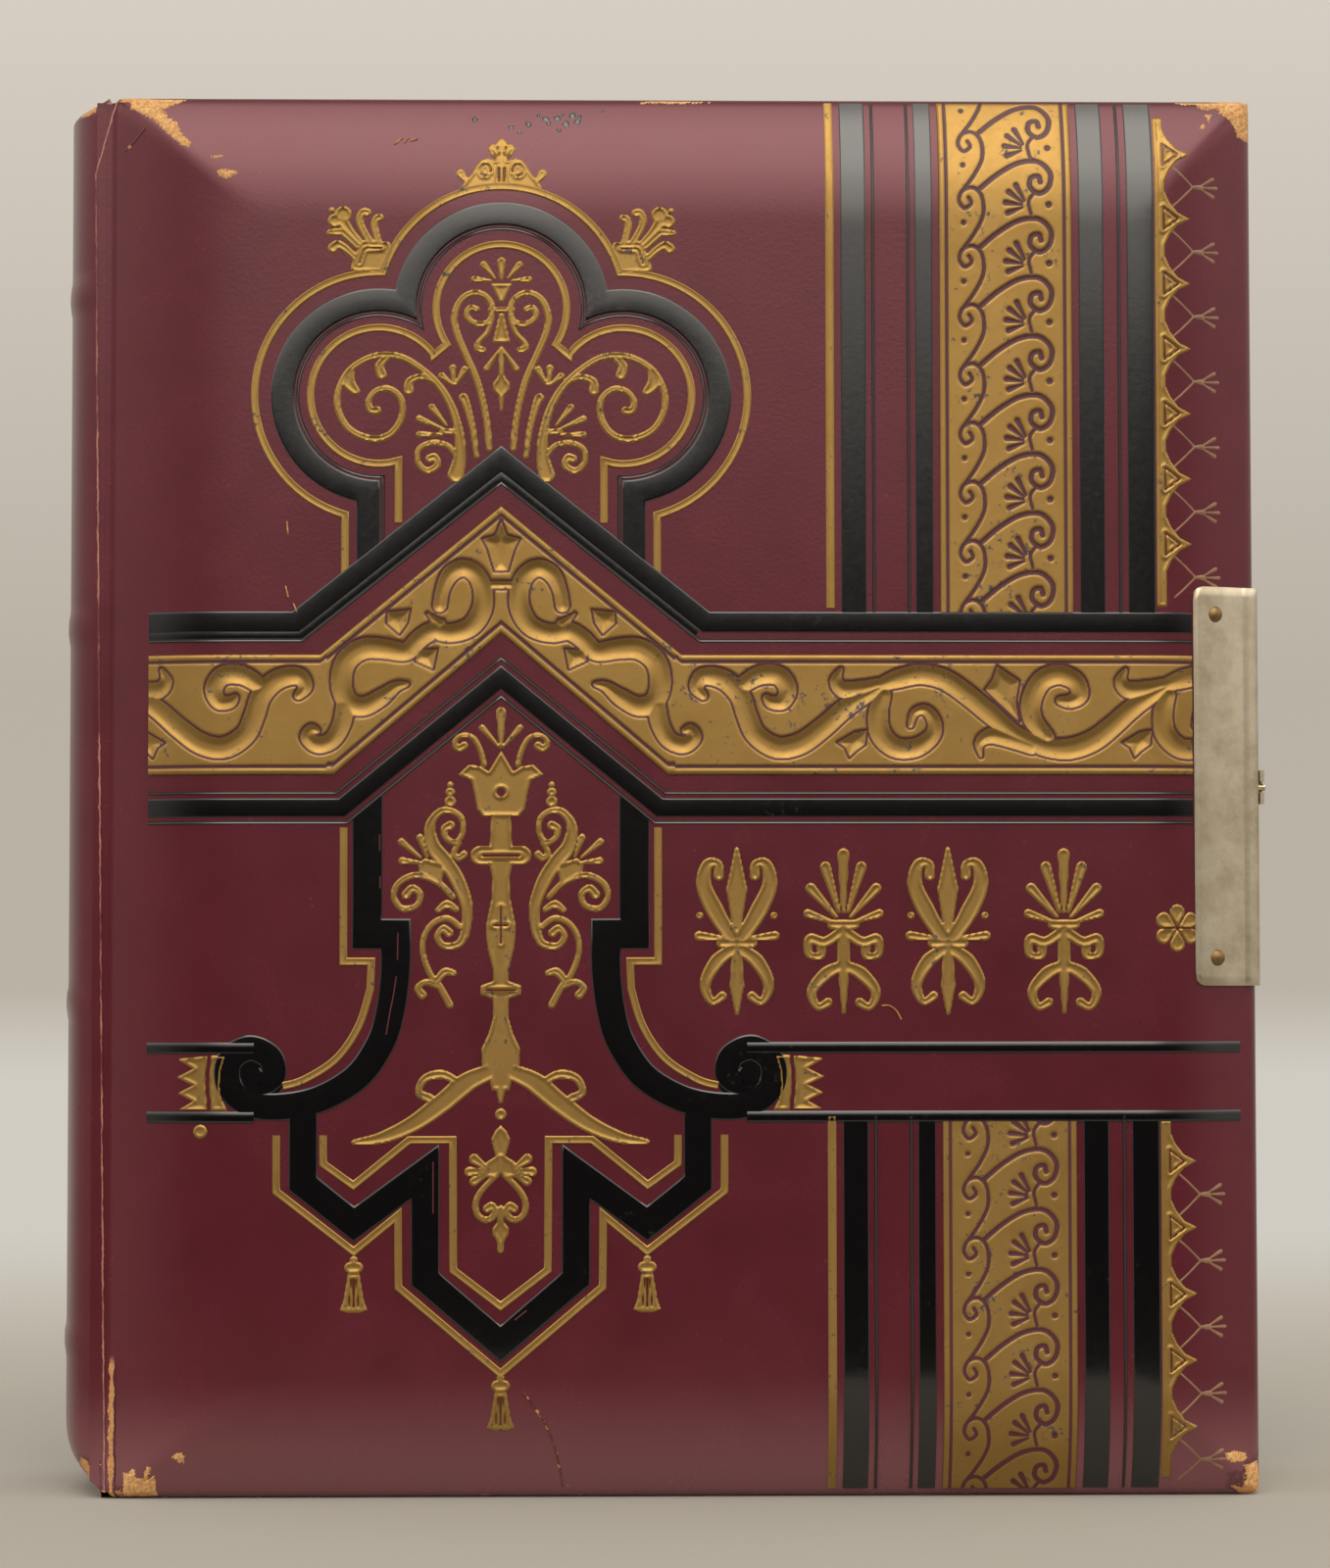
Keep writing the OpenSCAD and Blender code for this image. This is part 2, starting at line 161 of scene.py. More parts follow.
def make_piece(name, shells, material, crease=40, **marks):
    """One object from closed shells in millimetres, facing outwards; marks are values at its points."""
    starts = np.cumsum([0] + [len(shell[0]) for shell in shells])
    faces = []
    for start, (_, quads, caps) in zip(starts, shells):
        faces += (quads + start).tolist()
        faces += [[corner + int(start) for corner in cap] for cap in caps]
    mesh = bpy.data.meshes.new(name)
    mesh.from_pydata((np.concatenate([shell[0] for shell in shells]) * MM).tolist(), [], faces)
    shape = bmesh.new()
    shape.from_mesh(mesh)
    bmesh.ops.recalc_face_normals(shape, faces=shape.faces)
    shape.to_mesh(mesh)
    shape.free()
    mesh.shade_smooth()
    mesh.set_sharp_from_angle(angle=math.radians(crease))
    for mark, values in marks.items():
        mesh.attributes.new(mark, "FLOAT", "POINT").data.foreach_set("value", np.ravel(values))
    mesh.materials.append(material)
    piece = bpy.data.objects.new(name, mesh)
    bpy.context.scene.collection.objects.link(piece)
    return piece


def settle(piece, body, slot, *nodes):
    """Puts a piece on its body and hides the nodes that it stands for; its slot, the name of a finish, is
    not used.
    """
    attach(piece, body)
    if nodes:
        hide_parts(*nodes)


# Colours and nodes

def linear(code):
    """Linear colour of an sRGB hex code such as 55242a."""
    parts = np.array([int(code[k:k + 2], 16) for k in (0, 2, 4)]) / 255
    parts = np.where(parts <= 0.04045, parts / 12.92, ((parts + 0.055) / 1.055) ** 2.4)
    return (*parts, 1.0)


def add(tree, kind, settings, sockets):
    """Adds a node, sets its properties, and gives each socket a value, an output, or a node whose first
    output in use feeds it."""
    node = tree.nodes.new("ShaderNode" + kind)
    for name, value in settings.items():
        setattr(node, name, value)
    for name, value in sockets.items():
        if isinstance(value, bpy.types.Node):
            value = next(output for output in value.outputs if output.enabled)
        if isinstance(value, bpy.types.NodeSocket):
            tree.links.new(value, node.inputs[name])
        else:
            node.inputs[name].default_value = value
    return node


def new_material(name):
    """An empty material, its node tree and the piece's own coordinates in metres."""
    material = bpy.data.materials.new(name)
    material.use_nodes = True
    tree = material.node_tree
    tree.nodes.clear()
    return material, tree, add(tree, "TexCoord", {}, {}).outputs["Object"]


def coated(material, sockets):
    """Ends a material with its surface shader, whose sockets are given, and hands it back."""
    shader = add(material.node_tree, "BsdfPrincipled", {}, sockets)
    add(material.node_tree, "OutputMaterial", {}, {"Surface": shader})
    return material


def tones_by_height(tree, height, stops):
    """Tones that change with height: stops are pairs of a height, from 0 up, and a linear colour."""
    top = stops[-1][0]
    share = add(tree, "MapRange", {}, {"Value": height, "From Max": top})
    tones = add(tree, "ValToRGB", {}, {"Fac": share})
    for level, colour in stops[1:-1]:
        tones.color_ramp.elements.new(level / top).color = colour
    tones.color_ramp.elements[0].color = stops[0][1]
    tones.color_ramp.elements[-1].color = stops[-1][1]
    return tones


def per_mm(size):
    """Texture scale that gives features of a size in millimetres."""
    return 1 / (size * MM)


MIX = {"data_type": "RGBA"}
MIX_A, MIX_B = 6, 7


def joint_damage_and_shade(tree, place, cloud, ragged, streak):
    """Damage of the joint's leather and painted shade beside it: the tear at its foot, a painted shadow
    beside the tear, the crack along the leaning crease, and a painted shadow beside the crack. Each is a
    band about an upright line that wanders."""
    wander = add(tree, "MapRange", {}, {
        "Value": ragged, "To Min": -LINE_WANDER * MM, "To Max": LINE_WANDER * MM})
    aside = add(tree, "Math", {"operation": "ADD"}, {0: place.outputs["X"], 1: wander})
    bend = add(tree, "MapRange", {}, {
        "Value": place.outputs["Z"], "From Min": CREASE_BEND * MM, "From Max": HEIGHT * MM,
        "To Min": 0.0, "To Max": -CREASE_SWING * MM})
    bent = add(tree, "Math", {"operation": "ADD"}, {0: aside, 1: bend})
    leaning = add(tree, "Math", {"operation": "MULTIPLY_ADD"}, {
        0: place.outputs["Z"], 1: (CREASE_FOOT - CREASE_TOP) / HEIGHT, 2: bent})

    def near_line(across, middle, half, strength, uneven):
        """The strength within half a width of an upright line, fading out beside it. An uneven line is
        narrower and wider by turns."""
        offset = add(tree, "Math", {"operation": "SUBTRACT"}, {0: across, 1: middle * MM})
        away = add(tree, "Math", {"operation": "ABSOLUTE"}, {0: offset})
        edge = add(tree, "Math", {"operation": "MULTIPLY_ADD"}, {0: streak, 1: uneven * MM, 2: away})
        least = half + uneven / 2
        band = add(tree, "MapRange", {}, {
            "Value": edge, "From Min": least * MM, "From Max": (least + LINE_FADE) * MM, "To Min": 1.0,
            "To Max": 0.0})
        return add(tree, "Math", {"operation": "MULTIPLY"}, {0: band, 1: strength})

    low = add(tree, "MapRange", {}, {
        "Value": place.outputs["Z"], "From Min": (TEAR_TOP - TEAR_FADE) * MM,
        "From Max": TEAR_TOP * MM, "To Min": 1.0, "To Max": 0.0})
    patchy = add(tree, "MapRange", {}, {
        "Value": cloud, "From Min": 0.42, "From Max": 0.56, "To Min": 0.1, "To Max": 0.65})
    tear = near_line(aside, TEAR_X, 0.42, low, 2.4)
    # Painted shadow: a dark line just beside the tear.
    tear_shadow = near_line(aside, TEAR_X + 0.75, 0.12, low, 0.8)
    crack = near_line(leaning, CREASE_FOOT, 0.06, patchy, 0.3)
    # Painted shadow: a dark line just beside the crack.
    crack_shadow = near_line(leaning, CREASE_FOOT + 0.3, 0.06, 0.5, 0.3)
    return tear, tear_shadow, crack, crack_shadow


def maroon_goatskin():
    """Goatskin dyed maroon and glazed: a fine pebbled grain under a soft shine that the dye tints. It is
    torn to the tan hide where the worn value is high and in a tear at the foot of the joint, cracked pink
    along the leaning crease and rubbed dark round the torn places. Painted shadows lie as dark lines beside
    the tear and the crack, and the leather turns paler and greyer towards the tail."""
    material, tree, here = new_material("maroon_goatskin")
    cloud = add(tree, "TexNoise", {}, {"Vector": here, "Scale": per_mm(14), "Detail": 6, "Roughness": 0.62})
    grain = add(tree, "TexVoronoi", {"feature": "SMOOTH_F1"}, {"Vector": here, "Scale": per_mm(0.8)})
    fine = add(tree, "TexNoise", {}, {"Vector": here, "Scale": per_mm(0.5), "Detail": 4})
    ragged = add(tree, "TexNoise", {}, {
        "Vector": here, "Scale": per_mm(2.4), "Detail": 7, "Roughness": 0.74})
    streak = add(tree, "TexNoise", {}, {
        "Vector": here, "Scale": per_mm(3.4), "Detail": 5, "Roughness": 0.7})
    worn = add(tree, "Attribute", {"attribute_name": "worn"}, {}).outputs["Fac"]
    place = add(tree, "SeparateXYZ", {}, {"Vector": here})
    tear, tear_shadow, crack, crack_shadow = joint_damage_and_shade(tree, place, cloud, ragged, streak)
    tint = add(tree, "MapRange", {}, {"Value": cloud, "From Min": 0.3, "From Max": 0.7})
    dyed = add(tree, "Mix", MIX, {"Factor": tint, MIX_A: linear("4a141d"), MIX_B: linear("521722")})
    # The leather turns paler and greyer towards the tail.
    tail = add(tree, "MapRange", {"interpolation_type": "SMOOTHSTEP"}, {
        "Value": place.outputs["Z"], "From Min": 3 * MM, "From Max": 24 * MM, "To Min": 0.4,
        "To Max": 0.0})
    greyer_to_tail = add(tree, "Mix", MIX, {"Factor": tail, MIX_A: dyed, MIX_B: linear("8f6669")})
    torn = add(tree, "Math", {"operation": "ADD"}, {0: worn, 1: ragged})
    scuffed = add(tree, "MapRange", {}, {
        "Value": torn, "From Min": 0.84, "From Max": 1.06, "To Max": 0.75})
    # Painted shadows: dark lines just beside the tear and the crack.
    side = add(tree, "Math", {"operation": "MAXIMUM"}, {0: tear_shadow, 1: crack_shadow})
    darkened = add(tree, "Math", {"operation": "MAXIMUM"}, {0: scuffed, 1: side})
    # rubbed holds the darkening round torn places and the painted shadows beside the tear and the crack.
    rubbed = add(tree, "Mix", MIX, {"Factor": darkened, MIX_A: greyer_to_tail, MIX_B: linear("2e1213")})
    cracked = add(tree, "Mix", MIX, {"Factor": crack, MIX_A: rubbed, MIX_B: linear("c98f78")})
    bare_shade = add(tree, "Mix", MIX, {"Factor": fine, MIX_A: linear("8a5128"), MIX_B: linear("e0ac72")})
    flayed = add(tree, "MapRange", {}, {"Value": torn, "From Min": 1.06, "From Max": 1.1})
    bare = add(tree, "Math", {"operation": "MAXIMUM"}, {0: flayed, 1: tear})
    colour = add(tree, "Mix", MIX, {"Factor": bare, MIX_A: cracked, MIX_B: bare_shade})
    shine = add(tree, "MapRange", {}, {"Value": cloud, "To Min": 0.22, "To Max": 0.31})
    rough = add(tree, "Math", {"operation": "MAXIMUM"}, {0: shine, 1: bare})
    height = add(tree, "Math", {"operation": "MULTIPLY_ADD"}, {0: grain, 1: 0.7, 2: fine})
    torn_height = add(tree, "Math", {"operation": "MULTIPLY_ADD"}, {0: bare, 1: -3.0, 2: height})
    bump = add(tree, "Bump", {}, {"Height": torn_height, "Strength": 0.1, "Distance": 0.12 * MM})
    return coated(material, {
        "Base Color": colour, "Roughness": rough, "Normal": bump, "IOR": 1.55,
        "Specular IOR Level": 0.66, "Specular Tint": linear("ffc9d0")})


def bare_hide():
    """The tan hide under the dyed skin where it is torn: dry, fibrous and matt."""
    material, tree, here = new_material("bare_hide")
    fibre = add(tree, "TexNoise", {}, {"Vector": here, "Scale": per_mm(0.7), "Detail": 6, "Roughness": 0.7})
    shade = add(tree, "MapRange", {}, {"Value": fibre, "From Min": 0.32, "From Max": 0.66})
    colour = add(tree, "Mix", MIX, {"Factor": shade, MIX_A: linear("9c6238"), MIX_B: linear("e6b877")})
    bump = add(tree, "Bump", {}, {"Height": fibre, "Strength": 0.6, "Distance": 0.2 * MM})
    return coated(material, {"Base Color": colour, "Roughness": 0.9, "Normal": bump})


def black_blocking():
    """Black pigment pressed hot into leather: a smooth dark film, crackled and rubbed to grey flecks."""
    material, tree, here = new_material("black_blocking")
    fleck = add(tree, "TexNoise", {}, {
        "Vector": here, "Scale": per_mm(1.3), "Detail": 6, "Roughness": 0.75})
    patch = add(tree, "TexNoise", {}, {"Vector": here, "Scale": per_mm(24), "Detail": 3})
    both = add(tree, "Math", {"operation": "MULTIPLY_ADD"}, {0: patch, 1: 0.5, 2: fleck})
    rubbed = add(tree, "MapRange", {}, {"Value": both, "From Min": 0.92, "From Max": 1.06})
    colour = add(tree, "Mix", MIX, {"Factor": rubbed, MIX_A: linear("070607"), MIX_B: linear("3a3029")})
    rough = add(tree, "MapRange", {}, {"Value": fleck, "To Min": 0.08, "To Max": 0.2})
    bump = add(tree, "Bump", {}, {"Height": fleck, "Strength": 0.05, "Distance": 0.15 * MM})
    return coated(material, {"Base Color": colour, "Roughness": rough, "Normal": bump, "IOR": 1.7})


def gold_leaf():
    """Gold leaf blocked into leather: satin metal, rubbed dark in specks; inked lines show the maroon."""
    material, tree, here = new_material("gold_leaf")
    cloud = add(tree, "TexNoise", {}, {"Vector": here, "Scale": per_mm(9), "Detail": 4})
    speck = add(tree, "TexNoise", {}, {"Vector": here, "Scale": per_mm(1.5), "Detail": 5, "Roughness": 0.7})
    ink = add(tree, "Attribute", {"attribute_name": "ink"}, {}).outputs["Fac"]
    both = add(tree, "Math", {"operation": "MULTIPLY_ADD"}, {0: cloud, 1: 0.45, 2: speck})
    rubbed = add(tree, "MapRange", {}, {"Value": both, "From Min": 0.85, "From Max": 0.92})
    leaf = add(tree, "Mix", MIX, {"Factor": cloud, MIX_A: linear("8e6e38"), MIX_B: linear("a9874e")})
    aged = add(tree, "Mix", MIX, {"Factor": rubbed, MIX_A: leaf, MIX_B: linear("3f3a36")})
    lined = add(tree, "MapRange", {"interpolation_type": "SMOOTHSTEP"}, {
        "Value": ink, "From Min": 0.3, "From Max": 0.7})
    colour = add(tree, "Mix", MIX, {"Factor": lined, MIX_A: aged, MIX_B: linear("4a1d22")})
    dull = add(tree, "Math", {"operation": "MAXIMUM"}, {0: rubbed, 1: lined})
    metal = add(tree, "MapRange", {}, {"Value": dull, "To Min": 0.92, "To Max": 0.05})
    rough = add(tree, "MapRange", {}, {"Value": speck, "To Min": 0.34, "To Max": 0.52})
    bump = add(tree, "Bump", {}, {"Height": speck, "Strength": 0.22, "Distance": 0.12 * MM})
    return coated(material, {"Base Color": colour, "Metallic": metal, "Roughness": rough, "Normal": bump})


def rubbed_gold():
    """What handling leaves of thin gold lines: a dull brown bloom, patchy, hardly metal any more."""
    material, tree, here = new_material("rubbed_gold")
    patch = add(tree, "TexNoise", {}, {"Vector": here, "Scale": per_mm(1.6), "Detail": 5, "Roughness": 0.7})
    colour = add(tree, "Mix", MIX, {"Factor": patch, MIX_A: linear("64403a"), MIX_B: linear("a0805a")})
    return coated(material, {"Base Color": colour, "Metallic": 0.25, "Roughness": 0.5})


def nickel_plate():
    """Rolled brass with a worn nickel plating: warm grey metal with fine scratches and dull stains."""
    material, tree, here = new_material("nickel_plate")
    stretched = add(tree, "Mapping", {}, {"Vector": here, "Scale": (1, 1, 0.06)})
    scratch = add(tree, "TexNoise", {}, {"Vector": stretched, "Scale": per_mm(0.35), "Detail": 3})
    stain = add(tree, "TexNoise", {}, {"Vector": here, "Scale": per_mm(7), "Detail": 5, "Roughness": 0.65})
    shade = add(tree, "MapRange", {}, {"Value": stain, "From Min": 0.35, "From Max": 0.7})
    colour = add(tree, "Mix", MIX, {"Factor": shade, MIX_A: linear("cfc3ac"), MIX_B: linear("a89a80")})
    rough = add(tree, "MapRange", {}, {"Value": stain, "To Min": 0.26, "To Max": 0.46})
    bump = add(tree, "Bump", {}, {"Height": scratch, "Strength": 0.12, "Distance": 0.05 * MM})
    return coated(material, {"Base Color": colour, "Metallic": 1.0, "Roughness": rough, "Normal": bump})


def tarnished_brass():
    """Cast brass nails gone brown: dull dark metal, brighter in patches."""
    material, tree, here = new_material("tarnished_brass")
    stain = add(tree, "TexNoise", {}, {"Vector": here, "Scale": per_mm(1.2), "Detail": 5, "Roughness": 0.7})
    colour = add(tree, "Mix", MIX, {"Factor": stain, MIX_A: linear("5f4a33"), MIX_B: linear("9a8058")})
    rough = add(tree, "MapRange", {}, {"Value": stain, "To Min": 0.6, "To Max": 0.35})
    bump = add(tree, "Bump", {}, {"Height": stain, "Strength": 0.3, "Distance": 0.1 * MM})
    return coated(material, {"Base Color": colour, "Metallic": 1.0, "Roughness": rough, "Normal": bump})


def fibre_board(name, pale, dark, grain_mm, roughness):
    """Paper stock: matt, clouded from pale to dark, with a felt of short fibres of the given size."""
    material, tree, here = new_material(name)
    fibre = add(tree, "TexNoise", {}, {
        "Vector": here, "Scale": per_mm(grain_mm), "Detail": 6, "Roughness": 0.7})
    cloud = add(tree, "TexNoise", {}, {"Vector": here, "Scale": per_mm(45), "Detail": 4})
    both = add(tree, "Math", {"operation": "MULTIPLY_ADD"}, {0: fibre, 1: 0.4, 2: cloud})
    shade = add(tree, "MapRange", {}, {"Value": both, "From Min": 0.45, "From Max": 0.95})
    colour = add(tree, "Mix", MIX, {"Factor": shade, MIX_A: linear(pale), MIX_B: linear(dark)})
    bump = add(tree, "Bump", {}, {"Height": fibre, "Strength": 0.25, "Distance": 0.1 * MM})
    return coated(material, {"Base Color": colour, "Roughness": roughness, "Normal": bump, "IOR": 1.45})


WAVE_TURN = 6.283


def woven_cloth(name, warp, weft, thread_mm):
    """Plain woven cloth: threads cross in X and Z at the given spacing and stand up as ridges."""
    material, tree, here = new_material(name)
    scale = per_mm(thread_mm) / WAVE_TURN
    along, up = [
        add(tree, "TexWave", {"bands_direction": axis}, {"Vector": here, "Scale": scale}).outputs["Fac"]
        for axis in "XZ"]
    weave = add(tree, "Math", {"operation": "MULTIPLY"}, {0: along, 1: up})
    colour = add(tree, "Mix", MIX, {"Factor": along, MIX_A: linear(warp), MIX_B: linear(weft)})
    bump = add(tree, "Bump", {}, {"Height": weave, "Strength": 0.5, "Distance": 0.15 * MM})
    return coated(material, {
        "Base Color": colour, "Roughness": 0.85, "Normal": bump, "Sheen Weight": 0.15})


LEATHER = maroon_goatskin()
HIDE = bare_hide()
BLACK = black_blocking()
GOLD = gold_leaf()
RUBBED_GOLD = rubbed_gold()
NICKEL = nickel_plate()
BRASS = tarnished_brass()
MILLBOARD = fibre_board("grey_millboard", "9a8a70", "7c6c54", 0.8, 0.9)
LEAF_CARD = fibre_board("cream_card", "e6d9bb", "d3c19a", 0.6, 0.8)
MAT_PAPER = fibre_board("ivory_mat_paper", "efe6cf", "dfd0ac", 0.4, 0.6)
ENDPAPER = fibre_board("buff_endpaper", "d9c7a2", "c4ac80", 0.5, 0.7)
LINEN = woven_cloth("hinge_linen", "8c3a34", "6f2a28", 0.5)
MULL = woven_cloth("binding_mull", "c9bd9f", "b4a684", 0.8)
SILK = woven_cloth("headband_silk", "9b2e2e", "e3d4ab", 2.0)


# Leather

def cover_face(x, z):
    """Depth of the bevelled face at x, z.

    From each edge it rises as 1 - (1 - t) ** 2.4, t being the distance over that bevel's width. The four
    falls are joined by a power mean, which softens the mitres. A slow wave loosens the flat of the
    panel, and the last stretch rolls over the edge as a quarter circle.
    """
    x, z = np.broadcast_arrays(np.asarray(x, float), np.asarray(z, float))
    inward = np.stack([x - COVER_X, FORE_X - x, z, HEIGHT - z])
    widths = np.array([SPINE_BEVEL, BEVEL, BEVEL, BEVEL]).reshape((4,) + (1,) * x.ndim)
    falls = (1 - np.clip(inward / widths, 0, 1)) ** BEVEL_POWER
    fall = np.minimum((falls ** MITRE_POWER).sum(axis=0) ** (1 / MITRE_POWER), 1)
    wave = SWELL * np.sin(x / SWELL_ACROSS) * np.sin(z / SWELL_UP + 1)
    near = EDGE_RADIUS - np.clip(inward.min(axis=0), 0, EDGE_RADIUS)
    roll = EDGE_RADIUS - np.sqrt(EDGE_RADIUS ** 2 - near ** 2)
    return RIM + (CROWN - RIM + wave) * (1 - fall) - roll


def on_cover(u, z, rise, side=-1):
    """Points that stand off the cover's face by rise; side -1 is the front cover and 1 the back one."""
    x = AXIS_X + u
    return grid_points(x, side * (cover_face(x, z) + rise), z)


WORN_CORNERS = [  # corner, reach along the edge and up or down, strength
    ((COVER_X, HEIGHT), (15, 2.6), 0.78),
    ((FORE_X, HEIGHT), (17, 5), 0.84),
    ((COVER_X, 0), (9, 2.8), 0.8),
    ((FORE_X, 0), (8, 9), 0.86),
]
EDGE_WEAR = 0.47
EDGE_WEAR_REACH = 0.9


def wear(x, z):
    """How torn the leather is: a bell round each corner, uneven along the edge by a slow wave, and a narrow
    bell along the head and tail edges."""
    edge = np.minimum(z, HEIGHT - z)
    worn = EDGE_WEAR * np.exp(-(edge / EDGE_WEAR_REACH) ** 2)
    uneven = 0.9 + 0.1 * np.sin(1.7 * x + 2 * np.sin(0.9 * z))
    for (cx, cz), (along, up), strength in WORN_CORNERS:
        bell = np.exp(-((x - cx) / along) ** 2 - ((z - cz) / up) ** 2)
        worn = np.maximum(worn, strength * uneven * bell)
    return worn


def rounded_ring(left, right, bottom, top, radius):
    """Points round a rectangle with quarter-circle corners, equally many on every side and corner."""
    centres = np.array([
        [right - radius, bottom + radius], [right - radius, top - radius],
        [left + radius, top - radius], [left + radius, bottom + radius]])
    share = np.linspace(0, 1, SIDE_POINTS + 2)[1:-1, None]
    parts = []
    for k in range(4):
        angle = np.radians(90 * k - 90 + np.linspace(0, 90, CORNER_POINTS))
        corner = centres[k] + radius * np.column_stack([np.cos(angle), np.sin(angle)])
        onward = corner[-1] - centres[k] + centres[(k + 1) % 4]
        parts += [corner, corner[-1] + (onward - corner[-1]) * share]
    return np.concatenate(parts)


def cover_ring(inset, left_inset):
    """A ring of the cover at an inset from its edges, with corners that grow rounder inwards."""
    radius = CORNER_RADIUS + CORNER_GROWTH * min(inset, BEVEL)
    return rounded_ring(COVER_X + left_inset, FORE_X - inset, inset, HEIGHT - inset, radius)


def cover_skin(side):
    """The leather of one cover: rings run from the middle of the panel over the bevels, round the edge
    and back across the turned-in border to the place of the endpaper."""
    panel = cover_ring(BEVEL, SPINE_BEVEL)
    middle = panel.mean(axis=0)
    rings = [middle + (panel - middle) * share for share in np.linspace(0.04, 0.96, PANEL_RINGS)]
    rolled = EDGE_RADIUS * (1 - np.sin(np.linspace(0, math.pi / 2, ROLL_RINGS)))
    falling = EDGE_RADIUS + (BEVEL - EDGE_RADIUS) * np.linspace(1, 0, BEVEL_RINGS + 1)[:-1] ** 1.2
    for inset in np.concatenate([falling, rolled]):
        rings.append(cover_ring(inset, inset * SPINE_BEVEL / BEVEL if inset > EDGE_RADIUS else inset))
    rows = [grid_points(ring[:, 0], cover_face(ring[:, 0], ring[:, 1]), ring[:, 1]) for ring in rings]
    near = 0.3 * TURN_RADIUS
    edge = [(0, TURN_RADIUS), (near, near), (TURN_RADIUS, 0), (TURN_IN, 0), (TURN_IN, SKIN)]
    for inset, depth in edge:
        ring = cover_ring(inset, inset)
        rows.append(grid_points(ring[:, 0], INNER + depth, ring[:, 1]))
    points = np.stack(rows)
    points[..., 1] *= side
    return tube(points)


SPINE_POWER = 2.6
SPINE_BANDS = [0.11, 0.35, 0.62, 0.86]
SPINE_BAND_WIDTH = 5.0
SPINE_BAND_RISE = 0.4
LIP = 1.5
SPINE_TAIL = (1.3, 16.0, 3.6)  # start, length and power of the crushed end
SPINE_HEAD = (0.3, 3.2, 1.7)
SPINE_LEAST = 0.04
SPINE_AROUND = 73
SPINE_LEVELS = 190
SPINE_END_LEVELS = 30
TAIL_CLOSE = 18.0  # points lie closer together up to here
HEAD_CLOSE = 6.0
TORN_TAIL = 9.5
TORN_TAIL_FADE = 3.0
TORN_HEAD = 4.6
TORN_HEAD_FADE = 1.6


def spine_fullness(level):
    """Share of its roundness that the spine keeps at a level: towards the crushed ends it falls off as
    1 - (1 - t) ** power, t being the distance from the end less a start, over a length."""
    full = np.ones(len(level))
    for (start, length, power), inward in ((SPINE_TAIL, level), (SPINE_HEAD, HEIGHT - level)):
        t = np.clip((inward - start) / length, 0, 1)
        full = np.minimum(full, 1 - (1 - SPINE_LEAST) * (1 - t) ** power)
    return full


def spine_skin():
    """The spine's leather and how torn it is: a squared ellipse of power 2.6 carried up the spine, swollen
    over the raised bands by a bell, crushed and torn at head and tail, with corners rolled in by a quarter
    circle. The tear comes and goes round the spine as a sine wave."""
    turn = np.radians(np.linspace(-90, 90, SPINE_AROUND))
    across = np.sign(np.sin(turn)) * np.abs(np.sin(turn)) ** (2 / SPINE_POWER)
    out = np.abs(np.cos(turn)) ** (2 / SPINE_POWER)
    closer = np.linspace(0, 1, SPINE_END_LEVELS) ** 1.5
    level = np.concatenate([
        TAIL_CLOSE * closer, np.linspace(TAIL_CLOSE, HEIGHT - HEAD_CLOSE, SPINE_LEVELS)[1:-1],
        HEIGHT - HEAD_CLOSE * closer[::-1]])
    near = np.minimum(np.minimum(level, HEIGHT - level), LIP)
    drawn = LIP - np.sqrt(LIP ** 2 - (LIP - near) ** 2)
    swell = sum(np.exp(-((level - share * HEIGHT) / (SPINE_BAND_WIDTH / 2)) ** 4) for share in SPINE_BANDS)
    depth = (SPINE_EDGE - SPINE_OUT + SPINE_BAND_RISE * (swell - 1)) * spine_fullness(level)
    x = SPINE_EDGE - depth[:, None] * out[None, :]
    y = (RIM - drawn)[:, None] * across[None, :]
    tail = easing((TORN_TAIL - level) / TORN_TAIL_FADE)
    head = easing((TORN_HEAD - HEIGHT + level) / TORN_HEAD_FADE)
    worn = np.maximum(tail, head)[:, None] * (0.6 + 0.14 * np.sin(9 * turn - 0.8))
    return tube(grid_points(x, y, level[:, None])), worn


JOINT_HALF = 2.6
JOINT_THICK = 0.5
JOINT_LEVELS = 120
JOINT_LIFT = 2.2
JOINT_SINK = 0.02
JOINT_TO_SPINE = 0.1
JOINT_TO_COVER = 0.78
JOINT_END = 1.2


def joint_skin(side):
    """Leather across a hinge crease: a strip whose outer face dips to the crease as a square of the
    distance from it, and whose edges lie close on the spine and on the cover. Its foot climbs towards
    the spine."""
    share = np.linspace(-1, 1, 13)
    across = HINGE_X + JOINT_HALF * share
    out = RIM - JOINT_SINK + np.where(share < 0, JOINT_TO_SPINE, JOINT_TO_COVER) * share ** 2
    x = np.concatenate([across, across[::-1]])
    depth = np.concatenate([out, out[::-1] - JOINT_THICK])
    foot = JOINT_END + JOINT_LIFT * np.clip((HINGE_X - x) / JOINT_HALF, 0, 1)
    up = np.linspace(0, 1, JOINT_LEVELS)[:, None]
    return tube(grid_points(x, side * depth, foot + (HEIGHT - JOINT_END - foot) * up))


FRAME_INSET = 28.0
FRAME_HALF = 2.5


